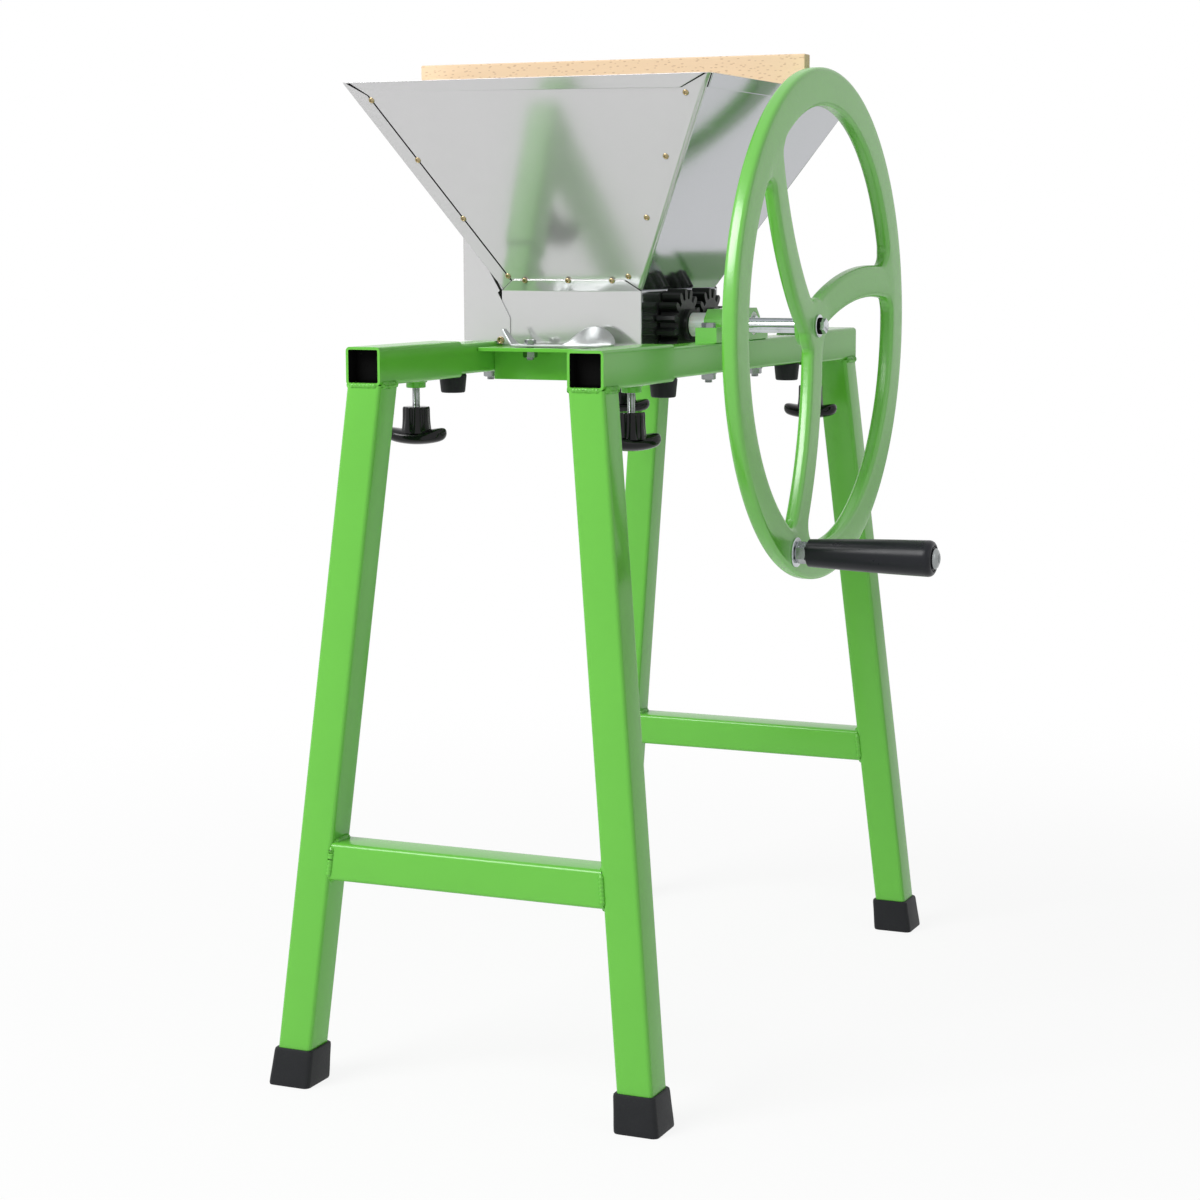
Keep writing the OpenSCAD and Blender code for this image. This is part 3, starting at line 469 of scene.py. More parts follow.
@dataclass(frozen=True)
class Beech(Finish):
    """Planed beech: pale tan with growth bands along X and short brown ray flecks."""

    dark: Colour
    fleck: Colour

    def lay(self, graph: Surface) -> None:
        """Bands and fibres of two tones, with flecks round the centres of a cell pattern.

        Args:
            graph: the material\'s graph.
        """
        bands = graph.noise(1.6, 4.0, 0.55, graph.stretched(4.0, 60.0, 60.0))
        fibre = graph.noise(3.0, 3.0, 0.6, graph.stretched(40.0, 900.0, 900.0))
        ticks = graph.node(
            "ShaderNodeTexVoronoi",
            {"feature": "F1", "distance": "EUCLIDEAN"},
            {"Vector": graph.stretched(190.0, 560.0, 560.0), "Scale": 1.0, "Randomness": 1.0},
        )["Distance"]
        white, black = (1.0, 1.0, 1.0), (0.0, 0.0, 0.0)
        stops = ((0.0, white), (0.2, white), (0.3, black))
        share = graph.node("ShaderNodeValToRGB", {"stops": stops}, {"Fac": ticks})["Color"] * 0.42
        wood = graph.mix(bands, self.dark, self.colour)
        graph.set(
            Base_Color=graph.mix(
                share, graph.mix(0.5, wood, self.tones(graph, fibre, 0.92, 1.0)), self.fleck
            ),
            Roughness=0.62 + 0.15 * (fibre - 0.5),
        )
        graph.bump(fibre * 0.6 - share * 0.5, 0.12 * MM)


GREEN = (0.135, 0.520, 0.050)
RECIPES: dict[str, Finish] = {
    "green_paint": PowderPaint("green_powder_coat", GREEN),
    "cast_paint": PowderPaint("green_cast_paint", GREEN, 0.24, 1.75, casting_mm=0.09),
    "galvanised_sheet": SatinSheet("satin_sheet", (0.605, 0.60, 0.607), 0.62, 0.13),
    # Sheet of the right faces: its darker, bluish colour is painted shade and cool light; its high
    # metallic gives real reflections
    "shaded_mirror_sheet": SatinSheet("shaded_mirror_sheet", (0.50, 0.51, 0.535), 0.92, 0.1),
    "zinc_steel": BrightMetal("zinc_plate", (0.60, 0.63, 0.65), 0.14, 0.5),
    "aluminium": BrightMetal("cast_aluminium", (0.62, 0.62, 0.63), 0.42, 0.7),
    "pressed_zinc": BrightMetal("pressed_zinc", (0.50, 0.52, 0.52), 0.34, 0.6),
    "dull_zinc": BrightMetal("dull_zinc", (0.33, 0.35, 0.35), 0.2, 0.35),
    "brass": BrightMetal("brass_plate", (0.44, 0.35, 0.20), 0.26, 0.45),
    # shadow: the flat black of painted shade, put into seams, sleeve mouths and behind the hub
    # bolt
    "shadow": MouldedBlack("dark_gap", (0.004, 0.004, 0.004), 0.8, 900.0, 0.01, 0.002, 0.05),
    "satin_black": MouldedBlack(
        "satin_black", (0.007, 0.008, 0.012), 0.3, 900.0, 0.012, 0.003, 0.27
    ),
    "white_nylon": WhiteNylon("white_nylon", (0.84, 0.87, 0.86)),
    "black_iron": MouldedBlack("black_gear", (0.009, 0.010, 0.010), 0.4, 500.0, 0.06, 0.004, 0.3),
    "black_plastic": MouldedBlack(
        "black_plastic", (0.003, 0.003, 0.004), 0.15, 1300.0, 0.008, 0.001, 0.26
    ),
    "black_rubber": MouldedBlack(
        "black_rubber", (0.010, 0.011, 0.013), 0.5, 700.0, 0.12, 0.008, 0.2
    ),
    "beech": Beech("beech", (0.98, 0.75, 0.50), (0.86, 0.60, 0.36), (0.42, 0.22, 0.10)),
}


# Meshes


def linked(name: str, data: bpy.types.ID) -> bpy.types.Object:
    """A new object at the origin, linked to the scene."""
    item = bpy.data.objects.new(name, data)
    bpy.context.scene.collection.objects.link(item)
    return item


def mesh_of(name: str, points: Array, faces: Sequence[Sequence[int]]) -> bpy.types.Mesh:
    """A mesh of plain polygons.

    Args:
        name: the mesh's name.
        points: its points, as rows.
        faces: corner numbers of each face.

    Returns:
        The mesh.
    """
    mesh = bpy.data.meshes.new(name)
    mesh.from_pydata(points.tolist(), [], faces)
    mesh.update()
    return mesh


def smooth(mesh: bpy.types.Mesh, angle: float = SHARP) -> None:
    """Shades a mesh smooth but for edges sharper than the angle, in degrees."""
    mesh.shade_smooth()
    mesh.set_sharp_from_angle(angle=math.radians(angle))


def unit(vectors: Array) -> Array:
    """Vectors of length 1 in the same directions."""
    return vectors / np.linalg.norm(vectors, axis=-1, keepdims=True)


def signed_volume(points: Array, faces: Sequence[Sequence[int]]) -> float:
    """Volume inside a closed surface: a sixth of the sum of the triple products of its triangles.

    Args:
        points: corners of the surface.
        faces: corner numbers of each face, which is cut into a fan of triangles.

    Returns:
        The volume, below zero if the faces point inwards.
    """
    total = 0.0
    for size in {len(face) for face in faces}:
        corners = points[np.array([face for face in faces if len(face) == size])]
        for i in range(1, size - 1):
            normal = np.cross(corners[:, i], corners[:, i + 1])
            total += float(np.einsum("ij,ij->", corners[:, 0], normal))
    return total / 6.0


def grid_faces(rows: int, columns: int, close_rows: bool, close_columns: bool) -> Array:
    """Quads between neighbours on a grid: corner (i, j) has number i * columns + j.

    Args:
        rows: points along the first parameter.
        columns: points along the second parameter.
        close_rows: whether the last row meets the first.
        close_columns: whether the last column meets the first.

    Returns:
        Four corner numbers for each face.
    """
    i, j = np.meshgrid(
        np.arange(rows if close_rows else rows - 1),
        np.arange(columns if close_columns else columns - 1),
        indexing="ij",
    )
    i, j = i.ravel(), j.ravel()
    down, across = (i + 1) % rows, (j + 1) % columns
    corners = ((i, j), (down, j), (down, across), (i, across))
    return np.stack([row * columns + column for row, column in corners], axis=1)


@dataclass
class Shell:
    """Closed surfaces gathered into one mesh."""

    points: list[Array] = field(default_factory=list)
    faces: list[list[int]] = field(default_factory=list)
    count: int = 0

    def gather(self, points: Array, faces: Array | Sequence[Sequence[int]]) -> "Shell":
        """Adds points and the faces between them as they are.

        Args:
            points: the points.
            faces: their numbers round each face.

        Returns:
            This shell.
        """
        self.points.append(points)
        self.faces.extend([index + self.count for index in face] for face in faces)
        self.count += len(points)
        return self

    def add(self, grid: Array, close_rows: bool = False) -> "Shell":
        """Adds a grid whose rows are rings as a closed surface with its faces outwards.

        Args:
            grid: points by row, column and coordinate.
            close_rows: whether the last row meets the first; open rows get flat end caps.

        Returns:
            This shell.
        """
        rows, columns = grid.shape[:2]
        flat = grid.reshape(-1, 3)
        faces = grid_faces(rows, columns, close_rows, True).tolist()
        if not close_rows:
            faces.append(list(range(columns)))
            faces.append([(rows - 1) * columns + j for j in range(columns)][::-1])
        if signed_volume(flat, faces) < 0:
            faces = [face[::-1] for face in faces]
        return self.gather(flat, faces)

    def turn(self, grid: Array, axis: Point, place: Point) -> "Shell":
        """Adds a surface made about +X, carried to an axis through a place."""
        return self.add(turned_to(grid, axis, place))

    def make(self, name: str, angle: float = SHARP) -> bpy.types.Object:
        """An object of that name; edges sharper than the angle, in degrees, stay sharp."""
        mesh = mesh_of(name, np.concatenate(self.points), self.faces)
        smooth(mesh, angle)
        return linked(name, mesh)


def placed(points: Array) -> Array:
    """Points about the middle of the stand, moved to the shared frame."""
    return points + np.array([STAND.middle_x, 0.0, 0.0])


def spot(x: Array | float, y: Array | float, z: Array | float) -> Array:
    """Points of the shared frame from coordinates about the middle of the stand."""
    return placed(np.stack(np.broadcast_arrays(x, y, z), axis=-1))


def turned_to(grid: Array, axis: Point, place: Point) -> Array:
    """Carries a surface made about +X to an axis through a place.

    Args:
        grid: points about the X axis.
        axis: the new direction of +X.
        place: where the old origin goes.

    Returns:
        The moved grid, in the shared frame.
    """
    along = unit(np.array(axis, dtype=float))
    side = unit(np.cross(UP if abs(along[2]) < 0.9 else (0.0, 1.0, 0.0), along))
    basis = np.stack([along, side, np.cross(along, side)])
    return placed(grid @ basis + np.array(place))


def ring_angles(steps: int) -> Array:
    """Angles of evenly spaced points round a full turn."""
    return np.linspace(0.0, TURN, steps, endpoint=False)


def round_points(angle: Array) -> Array:
    """Points of the unit circle at angles."""
    return np.stack([np.cos(angle), np.sin(angle)], axis=-1)


def rounded_square(half: float, radius: float, steps: int = 6) -> Array:
    """Outline of a square with round corners: four arcs about the corners' centres, joined.

    Args:
        half: half of the square's width.
        radius: radius of its corners.
        steps: segments of each corner.

    Returns:
        Points of the outline, counterclockwise.
    """
    quarter = np.arange(4)[:, None] * math.pi / 2
    angle = (quarter + np.linspace(0.0, math.pi / 2, steps + 1)).ravel()
    centre = np.repeat(quarter.ravel() + math.pi / 4, steps + 1)
    return (half - radius) * math.sqrt(2.0) * round_points(centre) + radius * round_points(angle)


def square_tube(half: float, wall: float, radius: float) -> tuple[Array, Array, Array]:
    """Rings of a square tube: outer wall, rounded end, inner wall and rounded end again.

    Args:
        half: half of the tube's width.
        wall: thickness of its wall.
        radius: radius of its outer corners.

    Returns:
        The two coordinates of the section and the share of the length, by ring and point.
    """
    outer = rounded_square(half, radius)
    inner = rounded_square(half - wall, max(radius - wall, 0.25 * MM))
    middle = (outer + inner) / 2
    a, b = np.moveaxis(np.stack([outer, outer, middle, inner, inner, middle]), -1, 0)
    share = np.array([0.0, 1.0, 1.0, 1.0, 0.0, 0.0])[:, None]
    return a, b, share + np.zeros_like(a)


def lathe(profile_mm: Profile, steps: int = 48) -> Array:
    """Turned surface along +X: each profile point (x, r) becomes a ring of radius r at x.

    Args:
        profile_mm: distances along the axis and radii, from one end to the other.
        steps: points in each ring.

    Returns:
        Grid of points, one row for each point of the profile.
    """
    x, r = np.array(profile_mm).T[:, :, None] * MM
    angle = ring_angles(steps)
    return np.stack(np.broadcast_arrays(x, r * np.cos(angle), r * np.sin(angle)), axis=2)


def eased_profile(corners_mm: Profile, radius: float) -> list[tuple[float, float]]:
    """A turned profile whose inner corners are rounded.

    Each is replaced by (1 - t)^2 start + 2 t (1 - t) corner + t^2 end, a parabola that starts
    and ends a radius from it.

    Args:
        corners_mm: corners (x, r) of the profile.
        radius: how far each rounding reaches, in millimetres.

    Returns:
        The rounded profile, in millimetres.
    """
    corners = np.array(corners_mm, dtype=float)
    profile = [tuple(corners[0])]
    for before, corner, after in zip(corners[:-2], corners[1:-1], corners[2:]):
        back, ahead = before - corner, after - corner
        reach = min(radius, 0.45 * np.linalg.norm(back), 0.45 * np.linalg.norm(ahead))
        start, end = corner + unit(back) * reach, corner + unit(ahead) * reach
        for t in (0.0, 0.25, 0.5, 0.75, 1.0):
            profile.append(tuple((1 - t) ** 2 * start + 2 * t * (1 - t) * corner + t * t * end))
    return profile + [tuple(corners[-1])]


def disc(start: float, stop: float, bore: float, radius: float, ease: float, steps: int) -> Array:
    """Washer along +X from start to stop, between two radii, in millimetres, with eased edges."""
    corners = [(start, bore), (start, radius), (stop, radius), (stop, bore)]
    return lathe(eased_profile(corners, ease), steps)


def hexagon(flats: float, height: float, both: bool = False, steps: int = 72) -> Array:
    """Hexagon head along +X whose corners are turned off by a chamfer of 30 degrees.

    At an angle a the outline lies at flats / 2 / cos(a taken to within 30 degrees of a flat), and
    its edge stands back from the face by the outline's excess over the chamfer circle times
    tan 30 degrees.

    Args:
        flats: distance across the flats, in millimetres.
        height: height of the head, in millimetres.
        both: whether the lower face is chamfered too, as on a nut.
        steps: points in each ring.

    Returns:
        Grid of points.
    """
    angle = ring_angles(steps)
    sixth = math.pi / 6
    outline = flats / 2 / np.cos((angle + sixth) % (2 * sixth) - sixth)
    circle, seat = flats / 2 * 0.95, flats / 2 * 0.9
    drop = (outline - circle) * math.tan(sixth)
    rings = (
        (0.0, circle if both else seat), (drop * both, outline), (height - drop, outline),
        (height, circle),
    )
    rows = [np.broadcast_arrays(x, r * np.cos(angle), r * np.sin(angle)) for x, r in rings]
    return np.moveaxis(np.array(rows), 1, 2) * MM


def threaded(length: float, radius: float = 3.0, pitch: float = 1.0, steps: int = 24) -> Array:
    """Bolt end along +X: the radius falls and rises once for each pitch, as |sin(pi x / pitch)|.

    Args:
        length: length of the thread, in millimetres.
        radius: outer radius, in millimetres.
        pitch: distance between crests, in millimetres.
        steps: points in each ring.

    Returns:
        Grid of points.
    """
    x = np.linspace(0.0, length, max(int(length / pitch * 4), 8))
    r = radius - 0.35 * pitch * (1.0 - np.abs(np.sin(math.pi * x / pitch)))
    r[-1] *= 0.8
    return lathe(np.stack([x, r], axis=1), steps)


def bead(path: Array, radius: float, waves: float, steps: int = 10) -> Array:
    """Weld bead: rings about a path, whose radius swells and sinks like laid drops.

    The radius at share t of the path is radius * (0.8 + 0.2 * |cos(pi * waves * t)|), and falls
    to nothing at both ends as the square root of the distance from the end.

    Args:
        path: points of the middle line.
        radius: largest radius.
        waves: drops along the path.
        steps: points in each ring.

    Returns:
        Grid of points.
    """
    share = np.linspace(0.0, 1.0, len(path))
    swell = 0.8 + 0.2 * np.abs(np.cos(math.pi * waves * share))
    ends = np.sqrt(np.clip(np.minimum(share, 1 - share) * 12.0, 0.02, 1.0))
    along = unit(np.gradient(path, axis=0))
    side = unit(np.cross(along, np.where(np.abs(along[:, 2:3]) > 0.9, [ALONG], [UP])))
    across = np.stack([side, np.cross(side, along)], axis=1)
    ring = round_points(ring_angles(steps)) @ across
    return path[:, None, :] + (radius * swell * ends)[:, None, None] * ring


@contextmanager
def edited(mesh: bpy.types.Mesh) -> Iterator[bmesh.types.BMesh]:
    """Opens a mesh for the tools of bmesh, and writes it back at the end.

    Args:
        mesh: the mesh to work on.

    Yields:
        Its editable shape.
    """
    shape = bmesh.new()
    shape.from_mesh(mesh)
    yield shape
    shape.to_mesh(mesh)
    shape.free()


def merged_copy(node: str, top: float | None = None) -> bpy.types.Object:
    """A copy of a CAD node whose loose triangles are joined and whose flat faces are whole.

    Args:
        node: the CAD node.
        top: height at which the copy is cut off, or None.

    Returns:
        The copy, standing at the origin.
    """
    mesh = frame["nodes"][node].data.copy()
    with edited(mesh) as shape:
        bmesh.ops.remove_doubles(shape, verts=shape.verts, dist=0.002 * MM)
        flat = math.radians(0.5)
        bmesh.ops.dissolve_limit(shape, angle_limit=flat, verts=shape.verts, edges=shape.edges)
        if top is not None:
            parts = [*shape.verts, *shape.edges, *shape.faces]
            cut = {"plane_co": (0, 0, top), "plane_no": UP, "clear_outer": True}
            bmesh.ops.bisect_plane(shape, geom=parts, **cut)
            rim = [edge for edge in shape.edges if edge.is_boundary]
            bmesh.ops.holes_fill(shape, edges=rim)
    return linked(node + "_rounded", mesh)


def soften(
    piece: bpy.types.Object, width: float, segments: int = 3, angle: float = 30.0
) -> bpy.types.Modifier:
    """Rounds a piece's sharp edges.

    Args:
        piece: the object.
        width: how far the rounding reaches from each edge.
        segments: faces across the rounding.
        angle: edges sharper than this many degrees are rounded.

    Returns:
        The modifier.
    """
    bevel = piece.modifiers.new("round_edges", "BEVEL")
    bevel.width = width
    bevel.segments = segments
    bevel.limit_method = "ANGLE"
    bevel.angle_limit = math.radians(angle)
    bevel.harden_normals = True
    smooth(piece.data, angle)
    return bevel


@dataclass
class Workshop:
    """Makes every finish once, dresses finished pieces, puts them on their bodies and reports."""

    finishes: dict[str, bpy.types.Material] = field(default_factory=dict)
    count: int = 0

    def __post_init__(self) -> None:
        """Builds the materials and gives every CAD node its slot's own."""
        for slot, recipe in RECIPES.items():
            self.finishes[slot] = recipe.build()
        for part in frame["record"]["subparts"]:
            self.dress(frame["nodes"][part["node"]], part["material_slot"])

    def dress(self, piece: bpy.types.Object, finish: str) -> None:
        """Gives a piece its material."""
        piece.data.materials.clear()
        piece.data.materials.append(self.finishes[finish])

    def fit(
        self,
        piece: bpy.types.Object,
        body: str,
        slot: str,
        nodes: Sequence[str] = (),
        finish: str | None = None,
    ) -> bpy.types.Object:
        """Dresses a new piece and makes it ride on its body.

        Args:
            piece: the new object.
            body: the CAD body that it moves with.
            slot: the record's material slot.
            nodes: CAD nodes that it stands for.
            finish: another finish than the slot's own, or None.

        Returns:
            The piece.
        """
        self.dress(piece, finish or slot)
        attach(piece, body)
        if nodes:
            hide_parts(*nodes)
        self.count += 1
        LOG.info("%s rides on %s", piece.name, body)
        return piece

    def rounded(
        self, node: str, width: float, finish: str | None = None, top: float | None = None
    ) -> None:
        """Replaces a CAD node by a copy of itself with rounded edges.

        Args:
            node: the CAD node.
            width: how far the rounding reaches.
            finish: another finish than the slot's own, or None.
            top: height at which the copy is cut off, or None.
        """
        record = frame["record"]
        bodies = record["behaviour"]["bodies"]
        body = next(name for name, nodes in bodies.items() if node in nodes)
        slot = next(part["material_slot"] for part in record["subparts"] if part["node"] == node)
        piece = merged_copy(node, top)
        soften(piece, width)
        self.fit(piece, body, slot, [node], finish)


@dataclass
class Assembly:
    """A sub-assembly of the crusher, and the workshop where its pieces are dressed and fitted."""

    shop: Workshop


# Stand


@dataclass
class Rails(Assembly):
    """Two square rails with end plugs and round rubber feet."""

    length: float = 539.0 * MM
    corner: float = 2.6 * MM
    plug_head: float = 1.5 * MM
    plug_rings: tuple = ((0.96, 0.0), (1.0, 0.25), (1.0, 0.6), (0.95, 0.9), (0.8, 1.0))
    foot_y: float = 138.0 * MM
    foot_mm: Profile = ((0.0, 0.4), (0.0, 11.0), (14.75, 9.5), (14.75, 0.4))

    def rail(self, side: Side) -> Array:
        """Square tube along Y at the side's place."""
        a, b, share = square_tube(STAND.rail_half, STAND.tube_wall, self.corner)
        return spot(side.value * STAND.rail_x + a, (share - 0.5) * self.length, STAND.rail_z + b)

    def plug(self, side: Side, end: End) -> Array:
        """Cushion-shaped head of a plug: square rings that shrink toward its domed face.

        Args:
            side: the rail.
            end: the rail's end.

        Returns:
            Grid of points.
        """
        rings = []
        for share, out in self.plug_rings:
            a, b = rounded_square(STAND.rail_half * share, self.corner * share).T
            y = end.value * (self.length / 2 + self.plug_head * out)
            rings.append(spot(side.value * STAND.rail_x + a, y, STAND.rail_z + b))
        return np.stack(rings)

    def build(self) -> None:
        """Builds both rails, their plugs and feet."""
        plugs, feet = Shell(), Shell()
        foot = lathe(eased_profile(self.foot_mm, 1.6))
        for side in Side:
            node = side.label + "_rail"
            tube = Shell().add(self.rail(side), close_rows=True).make(node + "_tube")
            self.shop.fit(tube, "crusher", "green_paint", [node])
            for end in End:
                plugs.add(self.plug(side, end))
                place = (side.value * STAND.rail_x, end.value * self.foot_y, STAND.under_z)
                feet.turn(foot, DOWN, place)
        plugs = plugs.make("rail_plug_heads")
        # The plugs are black plastic; their heads wear the flat black of painted shade, for the
        # shade in the sleeves' mouths.
        self.shop.fit(plugs, "crusher", "black_plastic", ["rail_end_plugs"], "shadow")
        self.shop.fit(feet.make("rail_rubber_feet"), "crusher", "black_rubber", ["rail_feet"])


@dataclass
class LegFrame(Assembly):
    """One end's sleeves, legs, crossbar, welds, foot caps and clamp bosses."""

    end: End
    foot_x: float = 143.75 * MM
    foot_y: float = 303.75 * MM
    leg_top_y: float = 268.25 * MM
    sleeve_in: float = 150.5 * MM
    sleeve_out: float = 282.5 * MM
    crossbar_z: float = 161.0 * MM
    cap_floor: float = 3.0 * MM
    cap_round: float = 4.0 * MM
    cap_mm: Profile = (
        (0.0, 16.6), (0.4, 17.4), (1.6, 17.72), (6.0, 17.6), (16.0, 17.1), (26.5, 16.7),
        (28.3, 16.4), (29.0, 15.6), (29.0, 14.4),
    )
    boss_mm: Profile = ((0.0, 1.0), (0.0, 7.5), (5.5, 7.5), (5.5, 3.4), (4.5, 3.2))
    bead: float = 2.9 * MM
    boss_bead: float = 1.3 * MM
    rough_weld: float = 0.3 * MM
    even_weld: float = 0.12 * MM

    def leg_middle(self, z: Array | float) -> tuple[Array | float, Array | float]:
        """Middle of a right rear leg at a height: straight between its foot and its sleeve."""
        share = z / STAND.top_z
        x = self.foot_x + (STAND.rail_x - self.foot_x) * share
        return x, self.foot_y + (self.leg_top_y - self.foot_y) * share

    def corner(self, side: Side, x: Array | float, y: Array | float, z: Array | float) -> Array:
        """Points given for the right rear corner, mirrored to this end and a side."""
        return spot(side.value * x, self.end.value * y, z)

    def leg(self, side: Side) -> Array:
        """Leg tube: the level outline slides along the leg's middle line as it rises.

        Args:
            side: the leg's side.

        Returns:
            Grid of points.
        """
        a, b, share = square_tube(*STAND.tube)
        z = self.cap_floor + (STAND.top_z - self.cap_floor) * share
        x, y = self.leg_middle(z)
        return self.corner(side, x + a, y + b, z)

    def sleeve(self, side: Side) -> Array:
        """Sleeve tube along Y, open at both ends."""
        a, b, share = square_tube(*STAND.tube)
        y = self.sleeve_in + (self.sleeve_out - self.sleeve_in) * share
        return self.corner(side, STAND.rail_x + a, y, STAND.rail_z + b)

    def shade_bores(self, tubes: bpy.types.Object, dark: bpy.types.Material) -> None:
        """Gives the inner walls of the sleeves, the fourth band of each tube, painted shade.

        Args:
            tubes: the sleeves' piece.
            dark: the painted-shade material of the inner walls.
        """
        tubes.data.materials.append(dark)
        faces = tubes.data.polygons
        bands = np.zeros((len(Side), 6, len(faces) // (6 * len(Side))), dtype=np.int32)
        bands[:, 3] = 1
        faces.foreach_set("material_index", bands.ravel())

    def crossbar(self) -> Array:
        """Bar along X: at height z its ends reach the inner faces of the legs."""
        a, b = rounded_square(STAND.tube_half, STAND.tube_round).T
        z = self.crossbar_z + STAND.tube_half + b
        x, y = self.leg_middle(z)
        steps = np.linspace(-1.0, 1.0, 5)[:, None]
        return spot(steps * (x - STAND.tube_half + 0.4 * MM), self.end.value * (y + a), z)

    def cap(self, side: Side) -> Array:
        """Rubber cap: rounded squares that follow the leg, wider and softly round at the floor.

        Args:
            side: the leg's side.

        Returns:
            Grid of points.
        """
        rings = []
        for z_mm, half_mm in self.cap_mm:
            a, b = rounded_square(half_mm * MM, self.cap_round).T
            x, y = self.leg_middle(z_mm * MM)
            rings.append(self.corner(side, x + a, y + b, z_mm * MM))
        return np.stack(rings)

    def welds(self, side: Side, rng: np.random.Generator) -> list[Array]:
        """Weld beads of one corner, whose lines wander by random steps.

        Each face of the leg has one along Y and one along X under the sleeve, and one up the
        crossbar's seam. Two more lie over and under the crossbar, and one rings the nut boss.

        Args:
            side: the corner's side.
            rng: source of the steps.

        Returns:
            A grid of points for each bead.
        """
        half, beads = STAND.tube_half, []
        top_span, bar_span = np.linspace(-11.5, 11.5, 60) * MM, np.linspace(-11.0, 11.0, 50) * MM
        rise = np.linspace(self.crossbar_z + 2.5 * MM, self.crossbar_z + 26.0 * MM, 50)
        for face in (-1.0, 1.0):
            edge, back = face * (half - 0.3 * MM), face * (half - 0.6 * MM)
            for x, y, share in ((edge, top_span, 1.0), (top_span, back, 0.7)):
                z = STAND.top_z + 0.1 * MM + rng.normal(0.0, self.rough_weld, 60)
                path = self.corner(side, STAND.rail_x + x, self.leg_top_y + y, z)
                beads.append(bead(path, self.bead * share, 9))
            x, y = self.leg_middle(rise)
            x = x - half + rng.normal(0.0, self.even_weld, 50)
            beads.append(bead(self.corner(side, x, y + edge, rise), self.bead * 0.8, 8))
        for z in (self.crossbar_z + 2 * half, self.crossbar_z):
            x, y = self.leg_middle(z)
            x = x - half + rng.normal(0.0, self.even_weld, 50)
            beads.append(bead(self.corner(side, x, y + bar_span, z), self.bead, 8))
        x, y = 7.6 * MM * round_points(np.linspace(0.0, TURN, 90)).T
        path = self.corner(side, STAND.rail_x + x, STAND.clamp_y + y, STAND.top_z - 0.4 * MM)
        return beads + [bead(path, self.boss_bead, 20)]

    def build(self) -> None:
        """Builds the frame's pieces."""
        end = self.end.label
        body = end + "_legs"
        rng = np.random.default_rng(7 + self.end.value)
        sleeves, welds, caps, bosses = Shell(), Shell(), Shell(), Shell()
        boss = lathe(eased_profile(self.boss_mm, 0.7))
        for side in Side:
            leg = f"{end}_{side.label}_leg"
            tube = Shell().add(self.leg(side), close_rows=True).make(leg + "_tube")
            self.shop.fit(tube, body, "green_paint", [leg])
            sleeves.add(self.sleeve(side), close_rows=True)
            caps.add(self.cap(side))
            place = (side.value * STAND.rail_x, self.end.value * STAND.clamp_y, STAND.top_z)
            bosses.turn(boss, DOWN, place)
            for grid in self.welds(side, rng):
                welds.add(grid)
        bar = Shell().add(self.crossbar()).make(end + "_crossbar_tube")
        tubes = sleeves.make(end + "_sleeve_tubes")
        self.shop.fit(tubes, body, "green_paint", [end + "_sleeves"])
        # Painted shade on the sleeves' inner walls.
        self.shade_bores(tubes, self.shop.finishes["shadow"])
        self.shop.fit(bar, body, "green_paint", [end + "_crossbar"])
        rings = bosses.make(end + "_boss_rings")
        self.shop.fit(rings, body, "green_paint", [end + "_clamp_bosses"])
        self.shop.fit(welds.make(end + "_weld_beads", 60.0), body, "green_paint")
        self.shop.fit(caps.make(end + "_rubber_caps"), body, "black_rubber", [end + "_foot_caps"])


